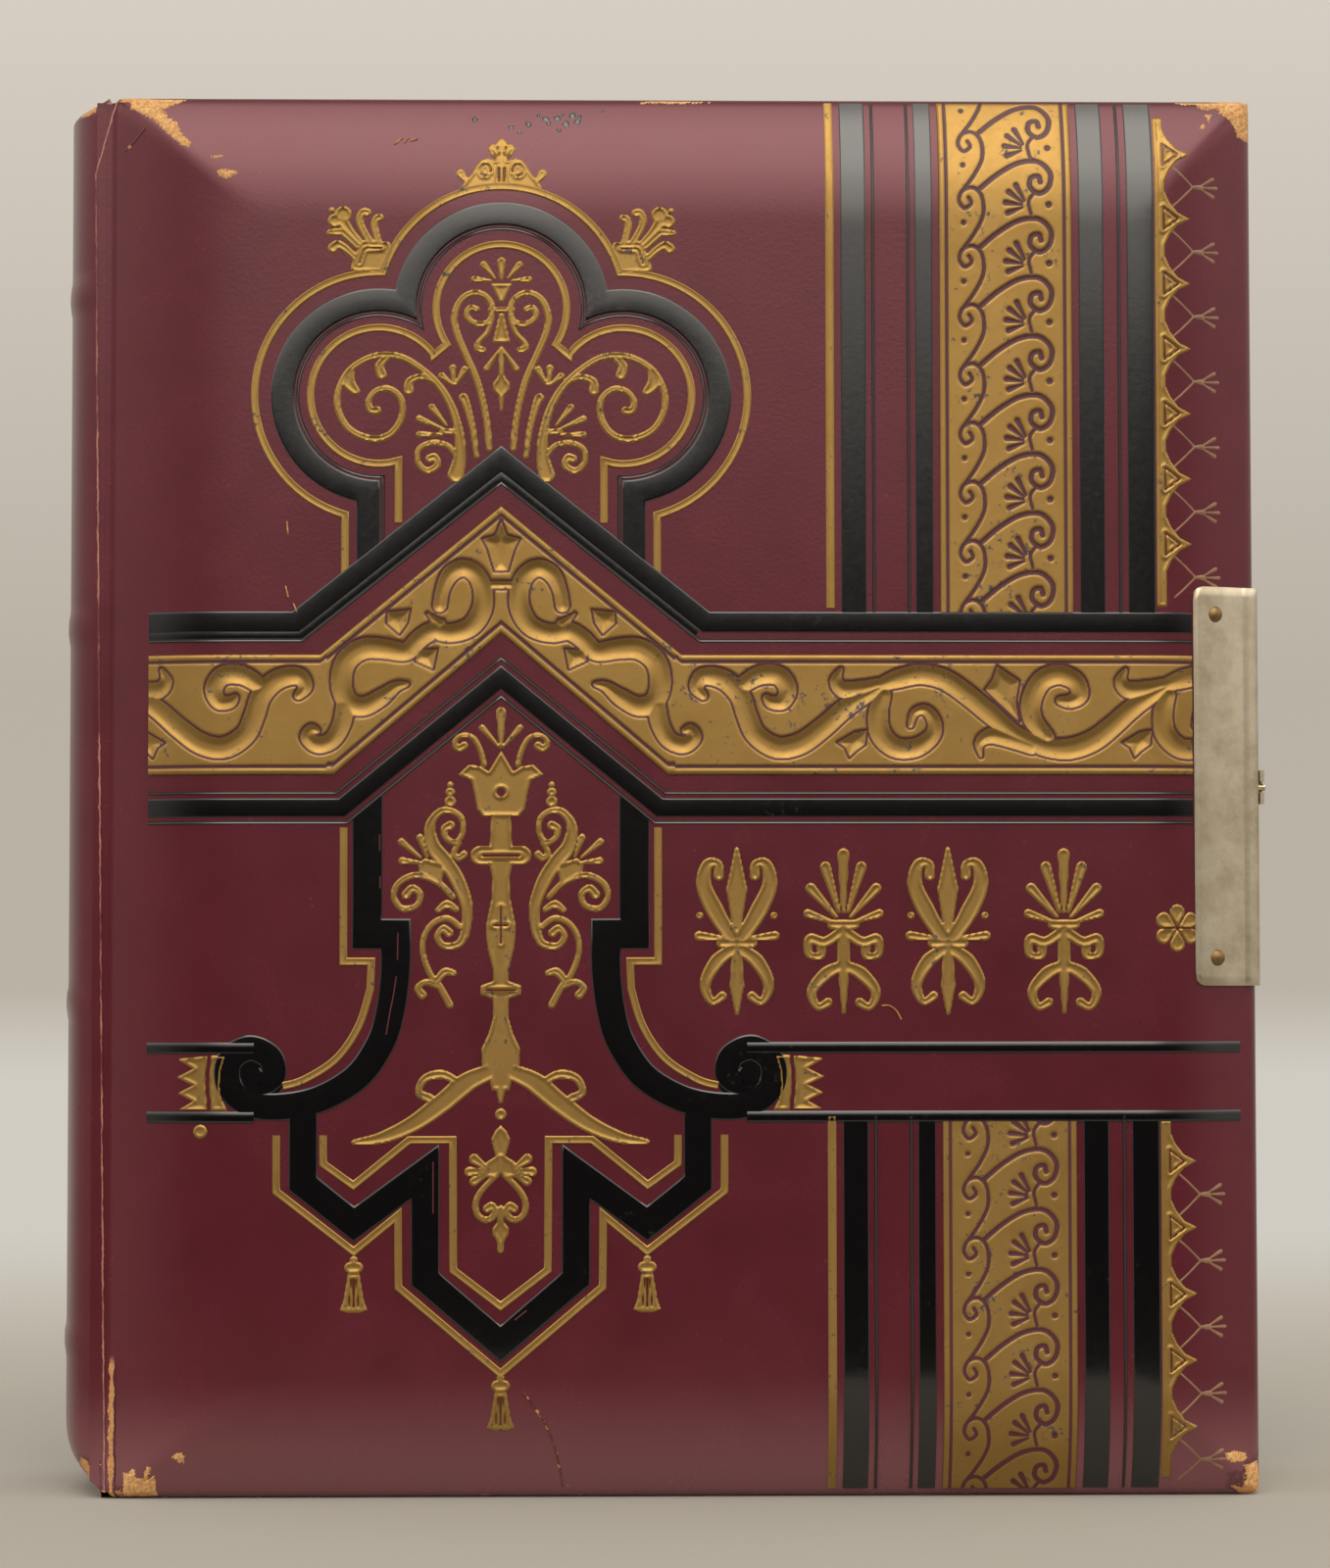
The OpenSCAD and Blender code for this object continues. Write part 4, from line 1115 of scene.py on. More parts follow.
def trefoil_figures():
    """Scrollwork inside the trefoil, and the palmettes on its shoulders and crown."""
    side = [
        curl([(2.3, 198.6), (2.7, 203), (3.6, 207.9), (4.9, 212.3), (6.7, 216.3), (8.5, 220.7),
              (8.9, 223.8), (8, 226.5), (6.3, 228), (4.1, 228.2), (2.3, 226.9), (1.7, 224.9),
              (2.3, 222.9), (4.1, 222.3), (5.8, 222.9), (6.6, 224.2), (6, 225.4), (4.8, 225.2)],
             0.55, 0.6, 0.5, 0.55),
        curl([(1.8, 223.2), (2.7, 220.7), (4.3, 218.9), (4.7, 217.7), (3.6, 217.4)], 0.4, 0.45, 0.6),
        petal((1.3, 231.1), (3.4, 233.7), 0.62),
        petal((2.0, 230.6), (5.2, 230.9), 0.58),
        petal((0.5, 217.2), (2.8, 213.8), 0.55),
        curl([(4.7, 197), (5.4, 202.1), (6.6, 206.8), (7.2, 208.2)], 0.4, 0.6, 0.85),
        curl([(8.6, 193.6), (7.9, 196.8), (8, 201.2), (9.1, 205.7), (11.5, 210.1), (15, 213.6),
              (19.4, 216.1), (24.3, 216.1), (28.7, 213.6), (30.9, 209.6), (30.9, 205.7), (28.7, 202.1),
              (24.7, 200.4), (21.2, 201.2), (19, 204.3), (19, 207.9), (21.2, 209.9), (23.8, 209.5),
              (25.2, 207.6), (24.8, 205.9), (23.6, 205.8)],
             1.5, 0.7, 0.55, 0.55, 0.55, 0.6, 0.55, 0.5, 0.75),
        curl([(13, 211.4), (15.2, 212.2), (17.4, 211.4), (17.6, 209.6)], 0.4, 0.6, 0.9),
        curl([(21.6, 216), (23.1, 214.4), (22.7, 212.6)], 0.5, 0.8, 0.9),
        curl([(28.7, 213.4), (29, 211.2), (27.6, 209.4)], 0.7, 1.2, 0.7),
        petal((10.5, 203), (13.2, 206.4), 0.62),
        petal((11, 202.2), (15.6, 204.2), 0.6),
        petal((11.2, 201.2), (15.6, 201.2), 0.55),
        stroke([(8.4, 201.6), (11.2, 201.9)], 0.5),
        curl([(8.7, 197.4), (10.3, 199.1), (13.2, 199.6), (15.6, 198.4), (15.8, 195.9), (14.1, 194.3),
              (12.2, 195.3), (12.6, 196.8), (13.6, 196.6)], 0.5, 0.5, 0.75),
        petal((8.6, 210.8), (7, 213.6), 0.62),
        petal((9, 210.8), (9.2, 213.9), 0.62),
        petal((9.4, 210.8), (11.3, 212.4), 0.62),
    ]
    shoulder = [
        area([(22.3, 232), (28.6, 232.6), (28.3, 234.4), (26.6, 238.2), (21.4, 238), (20.8, 236.4)]),
        curl([(23.4, 238), (24.1, 240.7), (23.9, 242.4), (23.1, 242.7)], 0.6, 0.65, 0.65),
        curl([(25, 238), (26.4, 240.4), (27, 242.3), (26.4, 243.7), (25.5, 243.7)], 0.65, 0.65, 0.7),
        curl([(26.8, 237.9), (28.6, 239.8), (30.3, 242)], 0.55, 0.7, 1.1),
        dot((30.1, 243.3), 1.55),
        dot((31.7, 242.1), 1.25),
        dot((32.3, 244.1), 0.5),
        curl([(27.4, 237.2), (29.4, 239.1), (30.5, 239.9), (32.6, 239.8)], 0.6, 0.65, 0.6),
        curl([(28, 235.2), (29.6, 236.7), (31.1, 237.5), (32, 236.9)], 0.6, 0.7, 0.95),
    ]
    veins = [stroke([(27, 233.8), (26.2, 236.2), (25.8, 236.7), (22.8, 236.8)], 0.16)]
    middle = [
        petal((0, 230.8), (0, 234.3), 0.75),
        area([(-1.9, 230), (1.9, 230), (0.25, 226.4), (-0.25, 226.4)]),
        stroke([(-2.1, 225.1), (2.1, 225.1)], 0.42),
        area([(-0.35, 224.4), (0.35, 224.4), (1.6, 218.8), (-1.6, 218.8)]),
        stroke([(0, 217.6), (0, 212.6), (0, 210.4), (0, 208.4), (0, 205.8)], 0.4, 0.5, 1.6, 0.4, 0.2),
    ]
    finial = [
        area([(0, 248.4), (0, 253.6), (1.2, 253.8), (2.7, 254.3), (3.9, 253.9), (4.7, 252.9), (5.5, 251.4),
              (6.6, 250), (7.6, 248.8), (7.4, 247.2)]),
        area([(0, 258.4), (0.7, 258), (1.2, 257.1), (2, 257.2), (2.7, 256.3), (2, 255.1), (1.2, 254.2),
              (0.6, 253.2), (0, 253)]),
        curl([(6.4, 249.8), (7.2, 250.4), (7.8, 251.3)], 0.5, 0.55, 0.8),
    ]
    grooves = [
        curl([(2.1, 251.6), (2.3, 252.8), (3.3, 253.1), (4.1, 252.2), (3.7, 251), (2.8, 250.9)], 0.17),
        stroke([(0.4, 254.6), (0.8, 256.6)], 0.14),
        stroke([(0.9, 254.5), (1.9, 255.9)], 0.14),
        stroke([(0.6, 249.6), (0.5, 252.4)], 0.14),
    ]
    gilt_figures("gilt_trefoil_scrolls", (-33.5, 191), (33.5, 236), both_sides(side) + middle)
    gilt_pair("gilt_shoulder_palmette", (20.5, 230.5), (34, 245), shoulder, veins)
    gilt_figures("gilt_crest", (-11, 247.4), (11, 260.2), both_sides(finial), both_sides(grooves))


def panel_figures():
    """A candelabrum in the panel: a tulip head, paired scrolls, a turned column and a hanging fleuron."""
    side = [
        petal((0.4, 141.8), (3.6, 145.4), 0.55),
        curl([(3.2, 138.4), (3.8, 140.8), (5.1, 143.3), (6.9, 144), (8.4, 143.4), (8.7, 142.2),
              (7.9, 141.5), (7, 142)], 0.45, 0.42, 0.7),
        curl([(6.7, 106.2), (6.4, 111.5), (8.3, 116.7), (10.6, 120.2), (12.7, 122.8), (13.4, 126.7),
              (11.8, 129.3), (9.6, 129.7), (7.5, 128.3), (7.3, 125.4), (8.6, 123.7), (10.3, 124.5),
              (10.7, 126.2), (9.6, 126.9)], 0.7, 1.3, 1.4, 0.7, 0.5, 0.45, 0.5, 0.8),
        curl([(8, 123.6), (8.9, 121.6), (8, 120.7), (7, 121.4)], 0.45, 0.5, 0.65),
        dot((9.6, 131.4), 1.0),
        dot((9.6, 133.2), 0.8),
        dot((9.6, 134.6), 0.5),
        area([(10.6, 119.4), (14.4, 120.6), (15.6, 119.6), (15.2, 117.6), (11.4, 115.4)]),
        petal((14, 121), (15.3, 124.6), 0.6),
        petal((15.2, 120.8), (18.8, 123.8), 0.6),
        petal((15.4, 119.9), (18.7, 120.2), 0.6),
        curl([(9.1, 113.4), (12, 116.2), (16, 117.5), (19.3, 116), (20.2, 113.4), (18.6, 111.2),
              (16, 111.7), (15.2, 113.8), (16.7, 115), (17.9, 113.8)], 0.5, 0.55, 0.5, 0.5, 0.8),
        curl([(8.4, 111), (10.2, 112), (11.8, 110.9)], 0.5, 0.7, 0.5),
        curl([(6.7, 107), (7.8, 104.6), (10.6, 104.1), (12, 105.9), (10.9, 107.4), (9.8, 106.6)],
             0.8, 0.6, 0.5, 0.8),
        curl([(7.8, 107.8), (10, 109.3), (12.7, 108.5), (14.5, 105.8), (14.6, 102.3), (13.2, 98.6),
              (11.6, 96.6), (9.6, 93)], 0.5, 0.5, 0.45, 0.5, 0.6),
        curl([(12.2, 97.4), (10.6, 99.2), (8.9, 99)], 0.6, 0.7, 0.5),
        curl([(12, 96.6), (14.2, 97.3), (15.6, 96.2), (14.8, 94.9)], 0.5, 0.5, 0.75),
        curl([(2.4, 80.2), (6.4, 78.4), (11, 74.6), (16.6, 70.6), (22.5, 68), (27.6, 67.2)],
             1.4, 1.9, 1.7, 1.2, 0.4),
        curl([(7, 77.6), (10.6, 79.8), (14.2, 79.2), (15.4, 76.6), (13.4, 75.4)], 0.6, 0.8, 0.6, 0.8),
        petal((2.2, 62), (5, 64), 0.9),
        petal((2.4, 61.8), (5.9, 61.6), 0.85),
        petal((2.2, 61.4), (5, 59.8), 0.8),
        area([(0, 65), (2.6, 63.4), (3, 60.6), (0.8, 60.6), (0, 61.4)]),
        curl([(0.7, 61), (2.4, 59.4), (3.9, 57.6), (4.7, 55.7), (4.4, 53.7), (3, 52.6), (1.6, 53),
              (1.1, 54.2), (1.7, 55.2), (2.5, 54.7)], 0.45, 0.5, 0.5, 0.6, 0.75),
    ]
    tulip = [(0, 140.9), (2.3, 137), (3.9, 138), (6.1, 138.3), (8, 136.5), (5.6, 135.5), (5, 133.2),
             (4.4, 129.9), (3.4, 128.7), (1.7, 128.7)]
    column = [(1.7, 129), (2.1, 122.6), (2.1, 119.4), (1.5, 117), (1.7, 113), (2.7, 108), (2.5, 104),
              (1.4, 99.6), (1.4, 97.4), (3.7, 96.6), (3.7, 95), (1.5, 94.2), (1.3, 90.8), (2.2, 87.6),
              (3.6, 84.6), (3.4, 81.8), (2.2, 79.6), (1.6, 77)]
    bud = [(0, 70.2), (1, 69.2), (1.7, 67.7), (1.3, 66), (0.8, 64.4)]
    middle = [
        petal((0, 141.8), (0, 148.4), 0.85),
        mirrored_area(tulip),
        mirrored_area(column),
        stroke([(-4, 121.2), (4, 121.2)], 1.7),
        stroke([(0, 77.4), (0, 74.8)], 0.9, 0.3),
        dot((0, 72.4), 1.0),
        mirrored_area(bud),
        stroke([(0, 54.6), (0, 52)], 0.6),
        stroke([(0, 52.6), (0, 50.4), (0, 48.2), (0, 46.9)], 0.4, 1.5, 0.5, 0.5),
    ]
    cuts = [
        dot((0, 133.2), 0.9),
        stroke([(-3.4, 121.2), (3.4, 121.2)], 0.3),
        stroke([(-1.2, 108), (1.2, 108)], 0.28),
        stroke([(0, 104.6), (0, 111.4)], 0.25),
        stroke([(-2.8, 95.8), (2.8, 95.8)], 0.22),
    ]
    gilt_figures("gilt_candelabrum", (-29.5, 45), (29.5, 150.4), both_sides(side) + middle, cuts)


def fleuron(tall):
    """An upright fleuron about its middle: a tall lily, or else a palmette on a scrolled foot."""
    if tall:
        side = [
            curl([(0.9, -1.6), (3.6, 2.6), (6.2, 8.2), (5.6, 12.2), (3.6, 12.4), (3.4, 10.2)],
                 1.2, 1.6, 1.2, 0.7, 0.9),
            curl([(0.8, -3.8), (3.8, -6), (6, -10.2), (4.8, -13.6), (2.8, -12.6)],
                 1.0, 1.3, 1.0, 0.6, 0.8),
            petal((1.6, -1.8), (7.2, -1.2), 0.8),
            dot((7, 2.6), 0.6),
        ]
        middle = [
            stroke([(0, 0), (0, 7.6), (0, 15.2)], 0.7, 1.9, 0.3),
            stroke([(-2.9, -2.6), (2.9, -2.6)], 0.85),
            stroke([(0, -3), (0, -10.6), (0, -15.8)], 0.8, 1.3, 0.3),
        ]
    else:
        side = [
            petal((0.9, 3.4), (3.4, 11.8), 0.95),
            petal((1.4, 2.4), (6.2, 7.8), 0.9),
            petal((1.6, 1.2), (6.8, 3), 0.75),
            curl([(0.7, -0.6), (3.6, -2.4), (6.4, -1.8), (6.6, -4.6), (4.4, -5), (4.2, -3.6)],
                 0.9, 0.9, 0.6, 0.8),
            curl([(0.6, -7), (3.4, -8.4), (6, -11.6), (5, -14.6), (3, -13.8)], 0.9, 1.2, 0.9, 0.6, 0.8),
        ]
        middle = [
            petal((0, 3.4), (0, 14.2), 1.05),
            stroke([(-2.2, 0.9), (2.2, 0.9)], 0.8),
            stroke([(0, 0), (0, -6.4), (0, -15.6)], 1.0, 1.1, 0.3),
            dot((0, -7), 1.5),
        ]
    return both_sides(side) + middle


FLEURON_LEVEL = 107.2
FLEURONS = [44.6, 64.8, 84.6, 106.6]
FLEURON_WINDOW = (9.2, 17.6)
ROSETTE = (128.2, 107.4)
ROSETTE_WINDOW = (5.2, 5.2)


def fleuron_row():
    """The row of fleurons to the right of the panel, closed by a rosette beside the clasp."""
    for k, u in enumerate(FLEURONS):
        shapes = moved(fleuron(k % 2 == 0), u, FLEURON_LEVEL)
        corners = corners_about(u, FLEURON_LEVEL, *FLEURON_WINDOW)
        gilt_figures("gilt_fleuron_" + str(k + 1), *corners, shapes)
    roots, tips = (arc((0, 0), radius, 30, 330, 5) for radius in (0.6, 3))
    leaves = [petal(root, tip, 1.4) for root, tip in zip(roots, tips)]
    veins = [stroke([(0, 0), end], 0.2) for end in arc((0, 0), 2.6, 0, 300, 5)]
    corners = corners_about(*ROSETTE, *ROSETTE_WINDOW)
    gilt_figures("gilt_rosette", *corners, moved(leaves, *ROSETTE), moved(veins, *ROSETTE))


TASSELS = [("left", -27.6, 45.6), ("middle", 0, 23.4), ("right", 27.6, 45.6)]
TASSEL_WINDOW = [(-4, -11.4), (4, 1.2)]


def hanging_figures():
    """Tassels under the pendant's three points, the crowns at the ends of the rolls, and a loose spot."""
    skirt = [(0.9, -2.6), (1.3, -5), (1.9, -8.4), (2.5, -9.8), (1.2, -10.3)]
    tassel = [
        dot((0, -0.4), 0.6),
        stroke([(-0.7, -1.9), (0.7, -1.9)], 0.95),
        mirrored_area(skirt),
    ]
    threads = [stroke([(0.5 * k, -4), (0.9 * k, -9.4)], 0.14) for k in (-1, 0, 1)]
    for name, u, z in TASSELS:
        low, high = [(u + across, z + up) for across, up in TASSEL_WINDOW]
        gilt_figures("gilt_tassel_" + name, low, high, moved(tassel, u, z), moved(threads, u, z))
    crown = [
        area([(51.6, 73.2), (54.4, 73.2), (54.9, 78.2), (54.5, 83.4), (51.9, 83.4), (52.7, 80.6),
              (52.9, 77.8), (52.5, 75)]),
        area([(55.4, 83.3), (60.8, 82.8), (57.8, 81), (61, 79.4), (57.8, 77.9), (60.8, 76.4), (57.8, 74.9),
              (60.6, 73.3), (55.3, 73.3), (55.8, 78.2)]),
    ]
    gilt_pair("gilt_crown", (50.8, 72.4), (62, 84.2), crown)
    gilt_figures("gilt_spot", (-58.6, 67.2), (-54.6, 71.2), [dot((-56.6, 69.2), 1.2)])


# Gilt plates: gold grounds with sunk scrolls outlined in maroon

PLATE_RISE = 0.5
PLATE_BACK = 0.8
PLATE_EDGE_DROP = 0.3
PLATE_EDGE_REACH = 0.35
SCROLL_DEPTH = 0.46
SCROLL_BED = 1.8
INK_HALF = 0.22
INK_OUT = 0.08
INK_SOFT = 0.24
INK_DEPTH = 0.12
STROKE_OUT = 0.22
GROOVE_OUT = 0.18
GROOVE_SOFT = 0.3
BORDER_LINE = 1.15
BORDER_INK = 0.6


def plate_piece(name, u, z, scrolls, inked, from_edge, *nodes):
    """A gilt ground on the cover as a height field: scrolls sink into it as hollows, by a parabola of the
    distance from their maroon outline, inked strokes are maroon grooves, and a maroon groove parts the
    border line from the field."""
    height = np.full(u.shape, PLATE_RISE)
    ink = np.zeros(u.shape)
    if scrolls:
        gap = edge_distance(u, z, scrolls)
        height = height - SCROLL_DEPTH * (1 - (1 - np.clip(-gap / SCROLL_BED, 0, 1)) ** 2)
        ink = np.maximum(ink, easing((INK_HALF + INK_SOFT / 2 - np.abs(gap - INK_OUT)) / INK_SOFT))
    if inked:
        ink = np.maximum(ink, easing((STROKE_OUT - edge_distance(u, z, inked)) / GROOVE_SOFT))
    groove = np.abs(from_edge - BORDER_LINE - BORDER_INK / 2) - BORDER_INK / 2
    ink = np.maximum(ink, easing((GROOVE_OUT - groove) / GROOVE_SOFT))
    height = height - INK_DEPTH * ink - PLATE_EDGE_DROP * (1 - easing(from_edge / PLATE_EDGE_REACH))
    inks = np.concatenate([ink.ravel(), np.zeros(len(border_ring(*u.shape)))])
    relief_piece(name, on_cover(u, z, height), PLATE_BACK, GOLD, "gilt_stamping", *nodes, ink=inks)


BAND_UPPER = rail(159.3, 187.6, 34.2)
BAND_LOWER = rail(136.5, 163.4, 31.6)
BAND_COLUMNS = 880
BAND_ROWS = 108
CHEVRON_REACH = 33
CHEVRON_SLANT = 0.765
SCROLL_PITCH = 54.2


def band_scrolls():
    """The chevron band's scrolls: one repeat of the running scroll, set twice, with a double curl beside
    the chevron, and mirrored C-scrolls about a three-pointed leaf on the chevron itself."""
    running = [
        curl([(64.4, 156.5), (63.5, 154.2), (64.9, 152.6), (68.2, 152.7), (71.8, 153.6)],
             0.4, 1.3, 1.7, 1.7, 1.3),
        curl([(71.8, 153.4), (75.4, 154.7), (79.7, 155.5), (84.1, 154.5), (88.4, 151.6), (92.8, 148),
              (96.7, 144.8), (100, 142.9), (103.6, 141.6), (108, 141.4), (112.3, 142.9), (115.9, 145.6),
              (119.9, 149.1), (124.2, 151.8), (127.5, 153.6)],
             1.3, 1.9, 2, 2, 2, 2, 1.7, 1.6, 1.9, 2.1, 2.1, 2, 1.9, 1.4, 0.7),
        curl([(72.6, 151.6), (71.5, 148.3), (71.9, 144.3), (74.7, 141.6), (78.6, 141.6), (81.7, 143.8),
              (82.1, 146.5), (80.5, 148.7), (78.4, 148.2), (77.6, 145.8)],
             1.4, 2, 2.1, 2, 1.9, 1.6, 1.4, 1.1, 0.9, 0.6),
        area([(63.6, 142.6), (65.1, 141.6), (66, 139.6), (67.3, 140.9), (69, 142.1), (69.4, 145),
              (67, 144.6)]),
        area([(94.1, 157.2), (98.4, 154.3), (97.7, 150.5), (98.3, 146.4), (94.2, 150.2), (91.7, 152.6),
              (93.1, 154.5)]),
        curl([(103.6, 143.6), (100.9, 146.9), (100.6, 150.5), (102.5, 154.2), (105.8, 155.5), (109, 154.2),
              (109.8, 151.6), (108, 150.4), (106.1, 150.5)], 1.4, 1.9, 2, 2, 2, 1.8, 1.7, 1.4, 0.9),
        curl([(91, 139.9), (90.7, 142.4), (92.8, 143.8), (96.4, 143.2), (100.7, 141.9)],
             0.3, 1, 1.6, 1.7, 1.7),
    ]
    double = [
        curl([(38.3, 151.4), (37, 153.1), (38.1, 155), (40.7, 155), (43.2, 153.8), (45.4, 151.2),
              (46.6, 147.6), (48.3, 144), (52.2, 141.6), (56.6, 142.3), (60.9, 145.3), (65.3, 149.1),
              (69.6, 151.6), (72.9, 153.4)],
             0.9, 1.4, 1.7, 1.9, 2, 2, 2, 2, 2.1, 2.1, 2, 1.9, 1.4, 0.7),
        curl([(45.7, 153.4), (49, 155.3), (52.6, 155.2), (54.3, 152.7), (53.3, 150.3), (51.2, 150.2),
              (50.2, 151.1)], 1.6, 1.9, 1.9, 1.8, 1.6, 1.3, 0.7),
    ]
    chevron = [
        curl([(11.6, 168.6), (11.1, 171.5), (9.7, 174.4), (7.2, 175.7), (4.7, 174.4), (3.4, 171.2),
              (3.7, 167.6), (5.8, 164.5), (9.4, 163.3), (12.8, 163.7), (15.5, 162.1), (18, 159.8),
              (21.9, 160.3), (26.1, 160.3), (29.3, 157.9), (30.2, 153.8), (29, 150.4), (26, 149.4),
              (22.6, 151.1), (19.9, 153.1), (17.8, 153.6)], 1.4, 1.4, 1.7, 1.7, 1.8, 1.9, 2, 1.9, 1.8,
             1.8, 1.8, 1.8, 2, 2.1, 2.1, 2.1, 2, 1.9, 1.7, 1.1, 0.5),
        stroke([(11.6, 165), (14, 167)], 1.2, 0.25),
        area([(17.2, 167.8), (21.6, 167.4), (21.7, 165.2), (19.2, 163), (17.7, 165.2)]),
        area([(12, 160.4), (16, 160.1), (16.3, 158), (12.8, 156.4)]),
        curl([(29.4, 149.4), (30.2, 145.8), (31.9, 143), (34.6, 142.1), (36.5, 143.5), (35.9, 145),
              (34.8, 144.8)], 1.9, 1.8, 1.7, 1.7, 1.5, 1.1, 0.7),
    ]
    leaf = [(0, 185), (1.1, 182), (3.6, 181.3), (2.6, 179.4), (1.3, 175.1)]
    middle = [mirrored_area(leaf), stroke([(-1.7, 172.5), (1.7, 172.5)], 0.8)]
    right = running + moved(running, SCROLL_PITCH, 0) + double + chevron
    return both_sides(right) + middle


def chevron_band():
    """The chevron band: columns of points between its lower and its upper edge, where the distance from
    an edge is shorter than the upright one by the slant of the chevron."""
    u = np.linspace(RAIL_LEFT, RAIL_RIGHT, BAND_COLUMNS)
    low, high = (np.interp(u, *np.transpose(edge)) for edge in (BAND_LOWER, BAND_UPPER))
    z = low + (high - low) * np.linspace(0, 1, BAND_ROWS)[:, None]
    from_edge = np.minimum(z - low, high - z) * np.where(np.abs(u) < CHEVRON_REACH, CHEVRON_SLANT, 1.0)
    across = np.broadcast_to(u, z.shape).copy()
    plate_piece("gilt_chevron_band", across, z, band_scrolls(), [], from_edge, "gilt_bands")


FIELD = (83.4, 108.8)
FIELD_PITCH = 11.3
FIELD_EDGE = 86.2
FIELD_SPANS = [("upper", 167.4, STRIPE_HEAD), ("lower", STRIPE_FOOT, LINE_LEVELS[0] - 1)]
FIELD_COLUMNS = 112
FIELD_CELL = 0.23


def field_strokes(foot, head):
    """Maroon lines of the upright gilt fields: an S-line between a small and a large spiral, a fan and
    dots, repeated up the field."""
    unit = [
        curl([(1.9, -9.6), (4.2, -6.3), (5.7, -2.9), (5.4, 0.6), (3.8, 2.2), (1.8, 1.6), (1.1, -0.3),
              (2.1, -1.8), (3.4, -0.9), (2.9, 0.3)], 0.3),
        curl([(5.2, -9.2), (8.6, -6.4), (12.5, -4.2), (16.3, -3.9), (18.6, -6.2), (18.2, -9),
              (16.4, -10.2), (14.7, -9), (14.9, -7.2), (16.3, -6.8), (16.7, -8)], 0.42),
        curl([(15.4, -10.2), (14.4, -11.8), (14.8, -14.2)], 0.26),
        petal((13.6, -11.6), (12, -8.6), 0.5),
        petal((13.2, -11.9), (10.6, -9.9), 0.5),
        petal((13.1, -12.4), (10, -12), 0.5),
        petal((13.2, -12.9), (10.4, -14), 0.5),
        dot((1.9, -4.6), 0.45),
        dot((18.2, -12.4), 0.55),
    ]
    shapes = []
    for k in range(int((head - foot) / FIELD_PITCH) + 3):
        shapes += moved(unit, FIELD_EDGE, foot + FIELD_PITCH * k)
    return [shape for shape in shapes if shape[0][:, 1].max() > foot and shape[0][:, 1].min() < head]


def upright_fields():
    """The two upright gilt fields between the stripes, above and below the rails."""
    for name, foot, head in FIELD_SPANS:
        rows = int((head - foot) / FIELD_CELL)
        u, z = np.meshgrid(np.linspace(*FIELD, FIELD_COLUMNS), np.linspace(foot, head, rows))
        from_edge = np.minimum(u - FIELD[0], FIELD[1] - u)
        plate_piece("gilt_field_" + name, u, z, [], field_strokes(foot, head), from_edge)


EDGING = 124.9
EDGING_PITCH = 12.5
EDGING_START = 7.6
EDGING_MARGIN = 0.8
EDGING_SPANS = [("upper", 168.6, STRIPE_HEAD - 3), ("lower", STRIPE_FOOT + 2, LINE_LEVELS[0] - 1)]
STRIP = 1.7
TOOTH_HALF = 5.6
TOOTH_END = 8
FORK_ROOM = 9
FORK_START = 2.4
FORK_END = 13.4


def fore_edgings():
    """The fore edge's gilt edging: a strip with hollow-sided triangles, and between them forked lines that
    end in small palmettes."""
    tooth = [(0, 5.6), (1.7, 5.2), (2.6, 3.2), (4.2, 1.2), (6.6, 0), (4.2, -1.2), (2.6, -3.2),
             (1.7, -5.2), (0, -5.6)]
    hole = [[(1.5, 2.2), (4.4, 0)], [(4.4, 0), (1.5, -2.2)], [(1.5, -2.2), (1.5, 2.2)]]
    fork = [
        curl([(3.3, 3.9), (5.2, 2.2), (7.4, 0)], 0.26),
        curl([(3.3, -3.9), (5.2, -2.2), (7.4, 0)], 0.26),
        stroke([(7.4, 0), (8.8, 0)], 0.34, 0.6),
        petal((8.6, 0.1), (11.4, 1.7), 0.45),
        petal((8.6, 0), (12.1, 0), 0.42),
        petal((8.6, -0.1), (11.4, -1.7), 0.45),
    ]
    for name, foot, head in EDGING_SPANS:
        shapes = [area([(0, foot), (STRIP, foot), (STRIP, head), (0, head)])]
        cuts, faded = [], []
        for k in range(int((head - foot) / EDGING_PITCH) + 1):
            level = head - EDGING_START - EDGING_PITCH * k
            if level - TOOTH_HALF > foot:
                shapes += moved([area(tooth)], 0, level)
                cuts += moved([stroke(side, 0.2) for side in hole], 0, level)
            if level - FORK_ROOM > foot:
                faded += moved(fork, 0, level - EDGING_PITCH / 2)
        shapes, cuts, faded = (moved(part, EDGING, 0) for part in (shapes, cuts, faded))
        foot, head = foot - EDGING_MARGIN, head + EDGING_MARGIN
        low, high = (EDGING - EDGING_MARGIN, foot), (EDGING + TOOTH_END, head)
        gilt_figures("gilt_edging_" + name, low, high, shapes, cuts)
        low, high = (EDGING + FORK_START, foot), (EDGING + FORK_END, head)
        flakes("rubbed_forks_" + name, low, high, faded, RUBBED_GOLD, "gilt_stamping", 0)


# Clasp

PLATE_THICK = 0.8
PLATE_CORNER = 2.0
PLATE_BEND = 2.4
PLATE_FOOT = 0.35
PLATE_GAP = 0.02
RIM_DROP = 0.34
RIM_REACH = 0.7
END_DROP = 0.3
END_REACH = 0.8
RIM_STEPS = [0, 0.12, 0.35, 0.7]  # points lie closer together at the rim and the ends
FLAT_START = 1.2
END_SHARES = [0.98, 0.99, 0.997, 1]
NAIL_RADIUS = 1.6
NAIL_RISE = 0.85
NAIL_SUNK = 0.25
NAIL_TIP = 0.05


